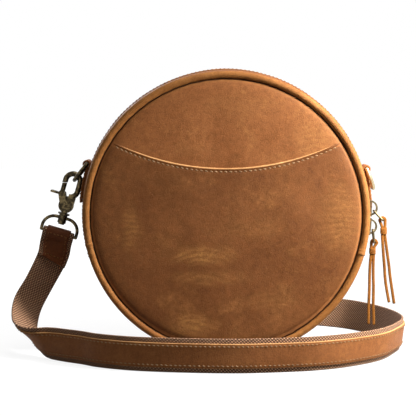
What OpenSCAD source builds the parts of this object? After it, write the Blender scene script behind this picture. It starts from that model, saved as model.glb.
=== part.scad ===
// Round crossbody bag of soft leather with a webbing strap, standing on its pressed foot.
// X runs to the right, Y runs to the back and Z runs up. The origin is on the floor under the bag's middle.

/* [Bag] */
// Diameter of the bag across its piping
bag_d = 220; // [200:1:240]
// Depth from the front piping's middle to the back piping's middle
bag_depth = 66; // [62:1:76]
// How far the round bottom is pressed flat where the bag stands
foot_drop = 2.5; // [1.5:0.1:3]
// Thickness of the leather of the panels and the gusset
leather_t = 1.6; // [1.3:0.1:1.8]
// How far the middle of each panel stands out
panel_crown = 2.5; // [1:0.1:4]
// How far the middle of the gusset stands out past the piping
gusset_rise = 2.2; // [1.5:0.1:2.8]
// How far the gusset falls from its middle to its edges
gusset_fall = 2.2; // [1.5:0.1:2.8]
// Diameter of the piping
piping_d = 6; // [5.5:0.1:6.5]
// Diameter of the cord inside the piping
piping_cord_d = 3; // [2.2:0.1:3.4]
// Thickness of the lining cloth
lining_t = 0.4; // [0.3:0.05:0.6]
// Thickness of the padding behind each panel
padding_t = 2; // [1:0.1:3]

/* [Front pocket] */
// Radius of the arc that the pocket's edge follows
pocket_arc_r = 195; // [180:1:260]
// Height of the lowest point of the pocket's edge over the bag's middle
pocket_low = 36.5; // [25:0.5:45]
// Height of the inner pocket's edge over the bag's middle
inner_pocket_top = 25; // [0:1:40]

/* [Zip] */
// Distance of the zip's middle line behind the front piping's middle
zip_from_front = 15; // [14.5:0.5:16]
// Width of the gap in the gusset that the zip closes
zip_gap = 10; // [9.6:0.1:11]
// Width of the zip's tapes together
tape_w = 16.5; // [15:0.5:17]
// Thickness of the zip's tapes
tape_t = 0.6; // [0.5:0.05:0.7]
// Distance from one tooth to the next
tooth_pitch = 4; // [3:0.1:5]
// Height of the teeth over their tape
tooth_h = 1.1; // [0.9:0.1:1.2]
// Length of each zip slider
slider_len = 12.5; // [11:0.1:13]
// Thickness of a slider's top plate
slider_plate_t = 1.8; // [1.4:0.1:2]
// How far a slider's bail stands over its top plate
bail_rise = 4.7; // [4.4:0.1:5.2]
// Thickness of the bail's wire
bail_wire = 1.3; // [1.1:0.1:1.4]
// Width of the bail along the bag's depth
bail_w = 2.6; // [2.2:0.1:3]

/* [Zip pulls] */
// Diameter of the wire of the links
link_wire = 1.5; // [1.2:0.1:1.6]
// Length of a link between the middles of its end bars
link_len = 10; // [9:0.1:11]
// Thickness of the pull's lace
lace_t = 2; // [1.6:0.1:2.2]
// Width of the pull's lace
lace_w = 2.6; // [2.2:0.1:3]
// Length of each pull from its link to its ends
tassel_len = 65; // [50:1:70]

/* [Tabs and rings] */
// Width of the leather tabs on the bag's sides
tab_w = 18; // [15:0.5:18.5]
// Thickness of the tabs' leather
tab_t = 1.6; // [1.4:0.1:1.8]
// Length of each tab down the gusset
tab_len = 31; // [25:1:34]
// Distance of the tabs' middle behind the bag's middle plane
tab_offset = 9; // [8.5:0.5:12]
// Diameter of the rings' wire
ring_wire = 3; // [2.6:0.1:3.2]
// Length of each ring between the middles of its bar and its far end
ring_len = 16.8; // [16:0.1:18]

/* [Strap] */
// Width of the strap's webbing
strap_w = 25; // [22:0.5:26]
// Thickness of the webbing
webbing_t = 1.5; // [1.2:0.1:1.8]
// Width of the leather on the strap's outer face
overlay_w = 18; // [15:0.5:20]
// Thickness of that leather
overlay_t = 1.3; // [1:0.1:1.5]

/* [Hooks] */
// Diameter of the wire of a hook's jaw
jaw_wire = 4.4; // [4.2:0.1:4.6]
// Width of the hole inside the jaw
jaw_hole_w = 7.2; // [7:0.1:8]
// Length of the hole inside the jaw
jaw_hole_l = 14.2; // [13:0.1:15]
// Distance of the jaw's top, inside, from the eye's arch
jaw_reach = 34; // [33:0.1:35]
// Thickness of a hook's body
body_t = 5; // [4.4:0.1:5.2]
// Diameter of the rivet that the trigger turns on
rivet_d = 2.4; // [2:0.1:2.6]
// Diameter of the pin that the hook swivels on
swivel_d = 3.1; // [2.8:0.1:3.4]
// Diameter of the wire of the strap's eyes
eye_wire = 2.6; // [2.2:0.1:2.8]
// Height of an eye between the middles of its bar and its arch
eye_h = 12.7; // [12.5:0.1:14]

/* [Hidden] */
$fn = 48;

// Colours
brown = [0.55, 0.33, 0.17];
tan = [0.78, 0.53, 0.28];
dark_brown = [0.28, 0.19, 0.14];
cloth = [0.42, 0.36, 0.28];
foam = [0.85, 0.82, 0.75];
old_brass = [0.45, 0.38, 0.22];
pale_brass = [0.72, 0.65, 0.42];

// Small clearances
seam_gap = 0.1;
run_gap = 0.05;
loose_gap = 0.3;
skin_gap = 0.2;
over = 1;

// Places that follow from the bag's size
bag_r = bag_d / 2;
bag_z = bag_r - foot_drop;
half_depth = bag_depth / 2;
zip_offset = half_depth - zip_from_front;
piping_r = piping_d / 2;
piping_ring_r = bag_r - piping_r;
cord_floor = (piping_d - piping_cord_d) / 4;
groove_r = bag_r - piping_d;
panel_edge_r = groove_r - 2 * seam_gap;
panel_roll_share = 1.3;
panel_roll_r = panel_roll_share * leather_t;
panel_flat_r = panel_edge_r - panel_roll_r;
fold_in = 0.8;
gusset_edge_r = groove_r + fold_in;
gusset_half = half_depth - piping_r - seam_gap;
gusset_top = bag_r + gusset_rise;
shoulder = 2.5;
flange_end_y = gusset_half - leather_t;
panel_steps = 8;
crown_steps = 12;
far = 3 * bag_r;
round_fn = 96;
outer_share = 0.8;

// The zip's run, counted from the right side over the top
zip_from_deg = -16;
zip_to_deg = 195;
upper_deg = 2.4;
lower_deg = -5;
zip_seat = 0.3;
zip_half_gap = zip_gap / 2;
tooth_inner = 0.8;
tooth_outer = 3.1;
tape_inner = 1.8;
tooth_share = 0.5;
plate_half = 4.3;
plate_tail_half = 3.6;
plate_gap = 0.4;
flange_inner = 3.5;
post_half = 0.45;
bottom_plate_t = 1.2;
nose_share = 0.55;

// The pulls' rest directions
link_shift = 2.4;
link_upper_deg = -46.8;
link_lower_deg = -84;
wrap_h = 5.5;
wrap_t = 0.7;
// Each row holds how far down and how far to the right, as shares of a pull's length
upper_neck_share = [0.128, 0.014];
upper_left_shares = [[0.27, 0.004], [0.51, 0.023], [0.78, 0.049], [0.985, 0.088]];
upper_right_shares = [[0.27, 0.042], [0.51, 0.077], [0.78, 0.114], [1, 0.149]];
lower_neck_share = [0.1, -0.018];
lower_left_shares = [[0.27, -0.045], [0.51, -0.051], [0.78, -0.056], [0.98, -0.06]];
lower_right_shares = [[0.27, -0.006], [0.51, -0.003], [0.78, 0], [0.99, 0.003]];

// The tabs and rings
tab_left_deg = 19;
tab_right_deg = 17;
ring_r = ring_wire / 2;
tab_hole_r = ring_r + loose_gap;
tab_loop_r = tab_hole_r + tab_t;
tab_bar_r = gusset_top + tab_loop_r + seam_gap;
tab_out_r = gusset_top + 2 * tab_t + seam_gap;
tab_span_deg = tab_len / tab_bar_r * 180 / PI;
ring_side_gap = 0.75;
ring_half = tab_w / 2 + ring_side_gap + ring_r;
ring_leg = max(ring_len - ring_half, ring_r);
ring_left_lean = 39;
ring_right_lean = 22.5;
bar_left_x = -tab_bar_r * cos(tab_left_deg);
bar_left_z = bag_z + tab_bar_r * sin(tab_left_deg);
bar_right_x = tab_bar_r * cos(tab_right_deg);
bar_right_z = bag_z + tab_bar_r * sin(tab_right_deg);

// The hook, drawn with the eye's arch at its origin and its jaw up
hook_lean = 16;
jaw_r = jaw_wire / 2;
jaw_mid_r = jaw_hole_w / 2 + jaw_r;
jaw_top_z = jaw_reach - jaw_hole_w / 2;
jaw_low_z = jaw_reach - jaw_hole_l + jaw_hole_w / 2;
jaw_gap = 1.1;
ring_in_jaw = 1;
collar_r = 4.7;
collar_z = 2.8;
collar_h = 1.2;
body_r = 6;
body_z = 10.4;
rivet_x = -2.2;
rivet_z = 10.9;
gate_r = 1.9;
gate_reach = 17;
gate_gap = 0.4;
crossbar_z = 19.5;
cheek_gap = 0.2;
cheek_t = 1;
cheek_r = 3.5;
cheek_share = 0.8;
crossbar_share = 0.9;
lever_len = 8.3;
lever_t = 1.8;
lever_z = 17.6;
spring_r = 2.5;
spring_t = 0.9;
rivet_head = 0.6;
rivet_head_r = 1.8;
hub_r = 3.4;
hub_low = 4.2;
hub_top = 2.4;
pin_head_r = 2.5;
pin_head_h = 1;
pin_up = 4;
cheek_y = body_t / 2 + cheek_gap;
hook_turn = [0, hook_lean, 0];

// The eye and the strap's fold round its bar
eye_r = eye_wire / 2;
eye_side_gap = 0.4;
eye_half = strap_w / 2 + eye_side_gap + eye_r;
eye_corner_r = 9.5;
eye_bar_gap = 0.25;
fold_in_r = eye_r + eye_bar_gap;
fold_out_r = fold_in_r + webbing_t;
fold_mid = fold_in_r + webbing_t / 2;
patch_in_r = fold_out_r + skin_gap;
patch_out_r = patch_in_r + overlay_t;
patch_w = overlay_w + 1;
tail_steps = 13;
bar_steps = 2;
fold_steps = 6;

// The left hook hangs on the left ring, and the strap's fold on the left eye
ring_left_x = bar_left_x - ring_len * sin(ring_left_lean);
ring_left_z = bar_left_z - ring_len * cos(ring_left_lean);
hook_rise = jaw_reach - ring_r - jaw_gap;
eye_left_x = ring_left_x - hook_rise * sin(hook_lean) - ring_in_jaw * cos(hook_lean);
eye_left_z = ring_left_z - hook_rise * cos(hook_lean) + ring_in_jaw * sin(hook_lean);
left_bar = [eye_left_x - eye_h * sin(hook_lean), tab_offset, eye_left_z - eye_h * cos(hook_lean)];

// The right hook lies on the floor behind the bag
lying_z = collar_r + seam_gap;
right_bar_x_share = -0.22;
right_bar_y_share = 0.91;
right_bar = [right_bar_x_share * bag_r, right_bar_y_share * bag_r, lying_z];

// The strap's middle line. Each row holds shares of the bag's radius for X, Y and Z,
// a share of the strap's width for Z, and the direction across the strap. Before the first row
// the line turns from its straight piece by shares of the way to that row.
straight_shares = 1.6;
turn_shares = [0.26, 0.09, 0.39];
turn_across = [-0.84, -0.36, 0.37];
lying_share = 0.2;
route_shares = [
  [-1.342, 0.01, 0.467, 0, -0.73, -0.52, 0.44],
  [-1.416, -0.085, 0.32, 0, -0.77, -0.47, 0.45],
  [-1.42, -0.225, 0.21, 0, -0.69, -0.54, 0.48],
  [-1.378, -0.352, 0, 0.70, -0.60, -0.50, 0.62],
  [-1.29, -0.43, 0, 0.54, -0.30, -0.35, 0.88],
  [-1.20, -0.485, 0, 0.50, -0.07, -0.08, 0.99],
  [-1.09, -0.565, 0, 0.50, 0, 0, 1],
  [-0.97, -0.65, 0, 0.50, 0, 0, 1],
  [-0.86, -0.745, 0, 0.50, 0, 0, 1],
  [-0.67, -0.84, 0, 0.50, 0, 0, 1],
  [-0.465, -0.895, 0, 0.50, 0, 0, 1],
  [-0.18, -0.935, 0, 0.50, 0, 0, 1],
  [0.10, -0.945, 0, 0.50, 0, 0, 1],
  [0.38, -0.905, 0, 0.50, 0, 0, 1],
  [0.59, -0.85, 0, 0.50, 0, 0, 1],
  [0.81, -0.735, 0, 0.50, 0.02, -0.02, 1],
  [1.04, -0.535, 0, 0.50, 0.08, -0.05, 1],
  [1.18, -0.28, 0, 0.50, 0.12, -0.05, 0.99],
  [1.258, -0.03, 0, 0.50, 0.12, 0, 0.99],
  [1.23, 0.26, 0, 0.50, 0.12, 0.08, 0.99],
  [1.125, 0.55, 0, 0.50, 0.08, 0.15, 0.98],
  [0.97, 0.79, 0, 0.49, 0.05, 0.24, 0.97],
  [0.785, 0.93, 0, 0.49, 0.02, 0.28, 0.96],
  [0.605, 1.0, 0, 0.48, 0, 0.35, 0.94],
  [0.445, 1.01, 0, 0.44, 0, 0.62, 0.79],
  [0.285, 0.965, 0, 0.31, 0, 0.90, 0.44],
  [0.15, 0.918, 0, 0.17, 0, 0.99, 0.1]
];
route_steps = 4;

// Shapes that repeat

function height_at(r) = panel_crown * (1 - pow(min(r / panel_flat_r, 1), 2));
function crown_at(y) = gusset_top - gusset_fall * pow(y / gusset_half, 2);
function polar(r, a) = [r * cos(a), r * sin(a)];

zip_tilt = atan(2 * gusset_fall * zip_offset / pow(gusset_half, 2));
zip_seat_r = crown_at(-zip_offset) - leather_t - zip_seat;
zip_run_deg = zip_to_deg - zip_from_deg;
tooth_deg = tooth_pitch / zip_seat_r * 180 / PI;
tooth_count = floor(zip_run_deg / tooth_deg) - 2;
slider_deg = slider_len / zip_seat_r * 180 / PI;
plate_bottom = tooth_h + plate_gap;
plate_top = plate_bottom + slider_plate_t;
plate_top_r = zip_seat_r + plate_top * cos(zip_tilt);
tooth_low_share = 0.9;
tooth_low = tape_t + tooth_low_share * tooth_h;
plate_low = tooth_low + plate_gap + bottom_plate_t;

// A shape drawn as (radius, depth) and turned about the bag's axis
module turned(from_deg = 0, sweep_deg = 360) {
  translate([0, 0, bag_z])
    rotate([90, 0, 0])
      rotate([0, 0, from_deg])
        rotate_extrude(angle = sweep_deg, $fn = round_fn)
          mirror([0, 1, 0])
            children();
}

// A flat shape drawn as (X, Z) about the bag's axis and given a depth
module across(depth, y = 0) {
  translate([0, y, bag_z])
    rotate([90, 0, 0])
      linear_extrude(height = depth, center = true)
        children();
}

// A flat shape drawn as (X, Z) about the piece's own origin and given a depth
module flat(depth) {
  rotate([90, 0, 0])
    linear_extrude(height = depth, center = true)
      children();
}

// The outline of the gusset, drawn in from its outside by inset
module gusset_outline(inset) {
  end_y = gusset_half - inset;
  bend_y = gusset_half - shoulder - inset / 2;
  middle = [for (i = [0:crown_steps])
    let (y = -bend_y + 2 * bend_y * i / crown_steps)
      [crown_at(y) - inset, y]];
  bend_r = crown_at(bend_y) - shoulder - inset / 2;
  polygon(concat([[0, -end_y], [bend_r, -end_y]], middle, [[bend_r, end_y], [0, end_y]]));
}

// The space above a height, big enough for the whole bag
module above(z) {
  translate([-far, -far, z])
    cube([2 * far, 2 * far, 2 * far]);
}

// The gusset's leather as a closed band with its pressed foot
module gusset_band(outer, inner, inner_r, edge_half) {
  difference() {
    intersection() {
      turned() gusset_outline(outer);
      above(outer);
      across(2 * edge_half) circle(r = far);
    }
    intersection() {
      turned() gusset_outline(inner);
      above(inner);
    }
    across(bag_depth + far) circle(r = inner_r, $fn = round_fn);
  }
}

// A slice of the round bag between two angles
module slice(from_deg, to_deg) {
  turned(from_deg, to_deg - from_deg)
    translate([bag_r / 2, -far / 2])
      square([far, far]);
}

// A slab between two depths
module depths(low_y, high_y) {
  translate([-far, low_y, -far])
    cube([2 * far, high_y - low_y, 2 * far]);
}

// A layer of a domed panel between two depths behind its face, out to a radius
module dome_layer(face, back, out_r, in_r = 0) {
  step = (out_r - in_r) / panel_steps;
  front = [for (i = [0:panel_steps]) let (r = in_r + step * i) [r, -half_depth - height_at(r) + face]];
  rear = [for (i = [0:panel_steps]) let (r = out_r - step * i) [r, -half_depth - height_at(r) + back]];
  polygon(concat(front, rear));
}

// A panel with its edge rolled in and its seam allowance
module panel_section() {
  dome_layer(0, leather_t, panel_flat_r);
  difference() {
    intersection() {
      translate([panel_flat_r, -half_depth + panel_roll_r]) circle(r = panel_roll_r);
      translate([panel_flat_r, -half_depth]) square([panel_roll_r, panel_roll_r]);
    }
    translate([panel_flat_r, -half_depth + panel_roll_r]) circle(r = panel_roll_r - leather_t);
  }
  translate([panel_edge_r - leather_t, -half_depth + panel_roll_r])
    square([leather_t, half_depth - panel_roll_r - flange_end_y]);
}

// The arc that the pocket's edge follows
module pocket_arc(drop = 0) {
  translate([0, pocket_low + pocket_arc_r - drop])
    circle(r = pocket_arc_r, $fn = round_fn);
}

// The front piping, a roll of leather round a cord
module piping_round(r) {
  turned() translate([piping_ring_r, -half_depth]) circle(r = r);
}

module piping() {
  difference() {
    intersection() {
      piping_round(piping_r);
      above(0);
    }
    intersection() {
      piping_round(piping_cord_d / 2 + run_gap);
      above(cord_floor - run_gap);
    }
  }
}

module piping_cord() {
  intersection() {
    piping_round(piping_cord_d / 2);
    above(cord_floor);
  }
}

// The zip's own frame: x stands off the tape's outer face and y runs across the tapes
module zip_section() {
  translate([zip_seat_r, -zip_offset])
    rotate(-zip_tilt)
      children();
}

module zip_tape(side) {
  turned(zip_from_deg, zip_run_deg)
    zip_section()
      translate([-tape_t, side > 0 ? tape_inner : -tape_w / 2])
        square([tape_t, tape_w / 2 - tape_inner]);
}

module tooth_section(side) {
  zip_section()
    scale([1, side])
      difference() {
        translate([-tooth_low, tooth_inner]) square([tooth_low + tooth_h, tooth_outer - tooth_inner]);
        translate([-tape_t, tape_inner]) square([tape_t, tooth_outer]);
      }
}

module zip_teeth(side) {
  shift = side > 0 ? tooth_deg / 2 : 0;
  for (i = [0:tooth_count - 1])
    turned(zip_from_deg + tooth_deg * (i + 1) + shift, tooth_deg * tooth_share)
      tooth_section(side);
}

// A piece turned to a place along the zip: X out, Z along the zip, Y back
module at_zip(deg) {
  translate([0, 0, bag_z])
    rotate([0, -deg, 0])
      children();
}

// A zip slider with its bail
bail_half = slider_len / 2 - bail_wire / 3;
bail_out_r = (bail_half * bail_half + bail_rise * bail_rise) / (2 * bail_rise);
bail_mid_r = plate_top_r + bail_rise - bail_out_r;
bail_in_r = bail_out_r - bail_wire;
link_r = link_wire / 2;
link_in = bail_in_r - link_r - loose_gap / 2;
link_bar_r = bail_mid_r + sqrt(link_in * link_in - link_shift * link_shift);

module slider(deg) {
  nose = slider_deg * nose_share;
  color(old_brass) {
    turned(deg - slider_deg / 2, slider_deg)
      zip_section() {
        translate([plate_bottom, -plate_tail_half]) square([slider_plate_t, 2 * plate_tail_half]);
        translate([-plate_low, -plate_tail_half]) square([bottom_plate_t, 2 * plate_tail_half]);
      }
    turned(deg - slider_deg / 2, nose)
      zip_section()
        for (side = [-1, 1])
          scale([1, side]) {
            translate([plate_bottom, 0]) square([slider_plate_t, plate_half]);
            translate([plate_gap, flange_inner])
              square([tooth_h + slider_plate_t / 2, plate_half - flange_inner]);
            translate([-plate_low, 0]) square([bottom_plate_t, plate_half]);
          }
    turned(deg - slider_deg / 2, nose / 2)
      zip_section()
        translate([bottom_plate_t / 2 - plate_low, -post_half])
          square([plate_low + plate_bottom, 2 * post_half]);
    at_zip(deg)
      translate([0, -zip_offset, 0])
        rotate([90, 0, 0])
          linear_extrude(height = bail_w, center = true)
            intersection() {
              translate([bail_mid_r, 0])
                difference() {
                  circle(r = bail_out_r);
                  circle(r = bail_in_r);
                }
              translate([plate_top_r - slider_plate_t / 2, -bail_out_r])
                square([2 * bail_out_r, 2 * bail_out_r]);
            }
  }
}

// Where a link's bar lies in a slider's bail, as (X, Z)
function link_place(deg) = let (p = [link_bar_r, -link_shift])
  [p[0] * cos(deg) - p[1] * sin(deg), bag_z + p[0] * sin(deg) + p[1] * cos(deg)];
function link_end(deg, lean) = link_place(deg) + polar(link_len, lean);

link_bend = loose_gap + link_r;
link_half = bail_w / 2 + link_bend;

// A wire link from a bail to a lace
module link(place, lean) {
  color(old_brass)
    translate([place[0], -zip_offset, place[1]])
      rotate([0, -lean, 0])
        for (x = [0, link_len], side = [-1, 1])
          translate([x, 0, 0])
            mirror([x > 0 ? 1 : 0, 0, 0])
              mirror([0, side > 0 ? 0 : 1, 0]) {
                rotate([-90, 0, 0]) cylinder(r = link_r, h = link_half - link_bend);
                translate([link_bend, link_half, 0])
                  rotate([0, 90, 0]) cylinder(r = link_r, h = link_len / 2 - link_bend);
                translate([link_bend, link_half - link_bend, 0])
                  rotate([0, 0, 90])
                    rotate_extrude(angle = 90) translate([link_bend, 0]) circle(r = link_r);
              }
}

lace_in_r = link_r + loose_gap;
lace_out_r = lace_in_r + lace_t;

// Both tails of a lace, drawn as (X, Z) from the link's bar
module lace_tail(neck, shares, side) {
  start = [neck[0] + side * lace_t / 2, neck[1]];
  line = concat([start, start - [0, wrap_h / 2]], [for (s = shares) [s[1] * tassel_len, -s[0] * tassel_len]]);
  left = [for (p = line) p - [lace_t / 2, 0]];
  right = [for (i = [len(line) - 1:-1:0]) line[i] + [lace_t / 2, 0]];
  polygon(concat(left, right));
}

function neck_place(share) = [share[1] * tassel_len, -share[0] * tassel_len];

// A lace folded through a link, with its two tails
module tassel(place, neck_share, left_shares, right_shares) {
  neck = neck_place(neck_share);
  color(tan)
    translate([place[0], -zip_offset, place[1]])
      difference() {
        union() {
          flat(lace_w) circle(r = lace_out_r);
          flat(lace_w)
            polygon([[-lace_out_r, 0], [lace_out_r, 0], neck + [lace_t, wrap_h / 2], neck + [lace_t, 0],
              neck - [lace_t, 0], neck + [-lace_t, wrap_h / 2]]);
          flat(lace_w) lace_tail(neck + [seam_gap, seam_gap], left_shares, -1);
          flat(lace_w) lace_tail(neck + [-seam_gap, seam_gap], right_shares, 1);
        }
        flat(lace_w + over) circle(r = lace_in_r);
      }
}

// A thin lace wound round the tails just under the link
module lace_wrap(place, neck_share) {
  neck = neck_place(neck_share);
  inner = [2 * (lace_t + seam_gap), lace_w + 2 * seam_gap];
  color(tan)
    translate([place[0] + neck[0], -zip_offset, place[1] + neck[1]])
      difference() {
        cube([inner[0] + 2 * wrap_t, inner[1] + 2 * wrap_t, wrap_h - seam_gap], center = true);
        cube([inner[0], inner[1], wrap_h + over], center = true);
      }
}

// A tab of leather folded round a ring's bar, for the right side
module tab(bar_deg) {
  color(brown)
    difference() {
      across(tab_w, tab_offset)
        difference() {
          union() {
            translate(polar(tab_bar_r, bar_deg)) circle(r = tab_loop_r);
            intersection() {
              difference() {
                circle(r = tab_out_r, $fn = round_fn);
                circle(r = bag_r - leather_t, $fn = round_fn);
              }
              polygon([[0, 0], polar(2 * bag_r, bar_deg - tab_span_deg), polar(2 * bag_r, bar_deg)]);
            }
          }
          translate(polar(tab_bar_r, bar_deg)) circle(r = tab_hole_r);
        }
      turned() gusset_outline(-seam_gap / 2);
    }
}

// A ring with a straight bar along Y at its origin, hanging down
module ring(metal) {
  color(metal) {
    rotate([90, 0, 0]) cylinder(r = ring_r, h = 2 * ring_half, center = true);
    for (side = [-1, 1]) {
      translate([0, side * ring_half, 0]) sphere(r = ring_r);
      translate([0, side * ring_half, -ring_leg]) cylinder(r = ring_r, h = ring_leg);
    }
    translate([0, 0, -ring_leg])
      rotate([0, 90, 0])
        rotate([0, 0, -90])
          rotate_extrude(angle = 180)
            translate([ring_half, 0])
              circle(r = ring_r);
  }
}

// The hook and its parts, each drawn with the eye's arch at the origin

module jaw() {
  difference() {
    union() {
      translate([0, 0, jaw_top_z])
        rotate([90, 0, 0])
          rotate_extrude(angle = 180) translate([jaw_mid_r, 0]) circle(r = jaw_r);
      translate([jaw_mid_r, 0, jaw_low_z]) cylinder(r = jaw_r, h = jaw_top_z - jaw_low_z);
      translate([-jaw_mid_r, 0, crossbar_z]) cylinder(r = jaw_r, h = jaw_top_z - crossbar_z);
      translate([0, 0, jaw_low_z])
        rotate([90, 0, 0])
          rotate([0, 0, -90])
            rotate_extrude(angle = 90) translate([jaw_mid_r, 0]) circle(r = jaw_r);
    }
    intersection() {
      translate([rivet_x, 0, rivet_z]) flat(2 * body_r) circle(r = gate_reach + gate_gap);
      translate([-far, -far, 0]) cube([far, 2 * far, far]);
    }
  }
}

module hook() {
  color(old_brass)
    difference() {
      union() {
        jaw();
        translate([0, 0, body_z]) flat(body_t) circle(r = body_r);
        translate([-jaw_r, -body_t / 2, body_z])
          cube([jaw_mid_r + jaw_r, body_t, jaw_low_z - jaw_mid_r - body_z]);
        translate([0, 0, collar_z]) cylinder(r = collar_r, h = collar_h);
        translate([0, 0, collar_z]) cylinder(r = body_t / 2, h = body_z - collar_z);
      }
      translate([0, 0, collar_z - over]) cylinder(r = swivel_d / 2 + run_gap, h = pin_up + over);
      translate([rivet_x, 0, rivet_z]) flat(body_t + over) circle(r = rivet_d / 2 + run_gap);
      translate([rivet_x, -body_t / 2, rivet_z])
        flat(2 * (spring_t + seam_gap)) circle(r = spring_r + seam_gap);
    }
}

module swivel_pin() {
  pin_low = hub_low + seam_gap;
  color(old_brass) {
    translate([0, 0, -pin_low]) cylinder(r = swivel_d / 2, h = pin_low + collar_z + pin_up - over);
    translate([0, 0, -pin_low - pin_head_h]) cylinder(r = pin_head_r, h = pin_head_h);
  }
}

module rivet() {
  half = cheek_y + cheek_t;
  color(pale_brass)
    translate([rivet_x, 0, rivet_z]) {
      flat(2 * (half + seam_gap)) circle(r = rivet_d / 2);
      for (side = [-1, 1])
        translate([0, side * (half + seam_gap + rivet_head / 2), 0])
          flat(rivet_head) circle(r = rivet_head_r);
    }
}

module trigger_spring() {
  color(old_brass)
    translate([rivet_x, -body_t / 2 + (spring_t + seam_gap) / 2, rivet_z])
      flat(spring_t)
        difference() {
          circle(r = spring_r);
          circle(r = rivet_d / 2 + 2 * run_gap);
        }
}

module trigger() {
  color(old_brass) {
    for (side = [-1, 1])
      translate([0, side * (cheek_y + cheek_t / 2), 0])
        flat(cheek_t)
          difference() {
            union() {
              translate([rivet_x, rivet_z]) circle(r = cheek_r);
              translate([rivet_x, rivet_z])
                rotate(atan2(crossbar_z - rivet_z, -jaw_mid_r - rivet_x))
                  translate([0, -cheek_share * cheek_r])
                    square([norm([crossbar_z - rivet_z, jaw_mid_r + rivet_x]), 2 * cheek_share * cheek_r]);
              translate([-jaw_mid_r, crossbar_z]) circle(r = jaw_r);
            }
            translate([rivet_x, rivet_z]) circle(r = rivet_d / 2 + run_gap);
          }
    translate([-jaw_mid_r, 0, crossbar_z])
      flat(2 * cheek_y + cheek_t) circle(r = jaw_r * crossbar_share);
    intersection() {
      translate([-jaw_mid_r, 0, crossbar_z]) cylinder(r = gate_r, h = jaw_hole_l);
      translate([rivet_x, 0, rivet_z]) flat(2 * body_r) circle(r = gate_reach);
    }
    translate([-jaw_mid_r - lever_len, -body_t / 2, lever_z]) cube([lever_len, body_t, lever_t]);
    translate([-jaw_mid_r - lever_len, 0, lever_z + lever_t / 2]) flat(body_t) circle(r = lever_t / 2);
  }
}

module eye() {
  side_z = eye_h - eye_corner_r;
  color(old_brass)
    difference() {
      union() {
        translate([0, 0, -hub_low]) cylinder(r = hub_r, h = hub_low + hub_top);
        for (side = [-1, 1])
          scale([side, 1, 1]) {
            rotate([0, 90, 0]) cylinder(r = eye_r, h = eye_half - eye_corner_r);
            translate([eye_half - eye_corner_r, 0, -eye_corner_r])
              rotate([90, 0, 0])
                rotate_extrude(angle = 90) translate([eye_corner_r, 0]) circle(r = eye_r);
            translate([eye_half, 0, -eye_h]) cylinder(r = eye_r, h = side_z);
            translate([eye_half, 0, -eye_h]) sphere(r = eye_r);
          }
        translate([0, 0, -eye_h]) rotate([0, 90, 0]) cylinder(r = eye_r, h = 2 * eye_half, center = true);
      }
      translate([0, 0, -hub_low - over])
        cylinder(r = swivel_d / 2 + run_gap, h = hub_low + hub_top + 2 * over);
    }
}

module at_left_hook() {
  translate([eye_left_x, tab_offset, eye_left_z])
    rotate(hook_turn)
      children();
}

module at_right_hook() {
  translate(right_bar)
    rotate([-90, 0, 90])
      translate([0, 0, eye_h])
        children();
}

// The strap leaves each eye's bar in a straight piece before it bends
left_dir = [-sin(hook_lean), 0, -cos(hook_lean)];
left_across = [-cos(hook_lean), 0, sin(hook_lean)];
start_at = left_bar + [0, fold_mid, 0];
end_at = right_bar + [0, 0, -fold_mid];
right_dir = [1, 0, 0];
right_across = [0, 1, 0];
straight = straight_shares * eye_wire;
function row_place(s) = [s[0] * bag_r, s[1] * bag_r, s[2] * bag_r + s[3] * strap_w];
hang_end = start_at + 2 * straight * left_dir;
hang_turn = row_place(route_shares[0]) - hang_end;
route = concat(
  [for (i = [0:2]) [start_at + i * straight * left_dir, left_across]],
  [[hang_end + [for (k = [0:2]) turn_shares[k] * hang_turn[k]], turn_across]],
  [for (s = route_shares) [row_place(s), [s[4], s[5], s[6]]]],
  [[end_at + lying_share * bag_r * right_dir, right_across]],
  [for (i = [2:-1:0]) [end_at + i * straight * right_dir, right_across]]);

function unit(v) = v / norm(v);
function spline(a, b, c, d, t) =
  0.5 * (2 * b + (c - a) * t + (2 * a - 5 * b + 4 * c - d) * t * t + (3 * b - a - 3 * c + d) * t * t * t);
function route_at(i, k) = route[max(0, min(len(route) - 1, i))][k];
function route_point(i, t, k) =
  spline(route_at(i - 1, k), route_at(i, k), route_at(i + 1, k), route_at(i + 2, k), t);
drawn_line = concat(
  [for (i = [0:len(route) - 2], j = [0:route_steps - 1]) route_point(i, j / route_steps, 0)],
  [route_at(len(route) - 1, 0)]);
across_line = concat(
  [for (i = [0:len(route) - 2], j = [0:route_steps - 1]) route_point(i, j / route_steps, 1)],
  [route_at(len(route) - 1, 1)]);
last_ring = len(drawn_line) - 1;
function along_at(i) = unit(drawn_line[min(i + 1, last_ring)] - drawn_line[max(i - 1, 0)]);
function across_at(i) = let (t = along_at(i), w = across_line[i]) unit(w - (w * t) * t);
function outward_at(i) = cross(along_at(i), across_at(i));

// The strap lies on the floor where its drawn line would sink into it
function reach_down(i) =
  let (w = abs(across_at(i)[2]), n = outward_at(i)[2], leather_out = webbing_t / 2 + skin_gap + overlay_t)
    max(w * strap_w / 2 + abs(n) * webbing_t / 2, w * overlay_w / 2 - n * leather_out);
middle_line = [for (i = [0:last_ring]) drawn_line[i] + [0, 0, max(0, reach_down(i) - drawn_line[i][2])]];

// How far the fold's two layers stand apart at a number of rings from the eye's bar
fold_apart = 2 * fold_mid - webbing_t - skin_gap;
function eased(x) = x * x * (3 - 2 * x);
function fold_open(steps) = fold_apart * (1 - eased(min(1, max(0, steps - bar_steps) / fold_steps)));

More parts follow.
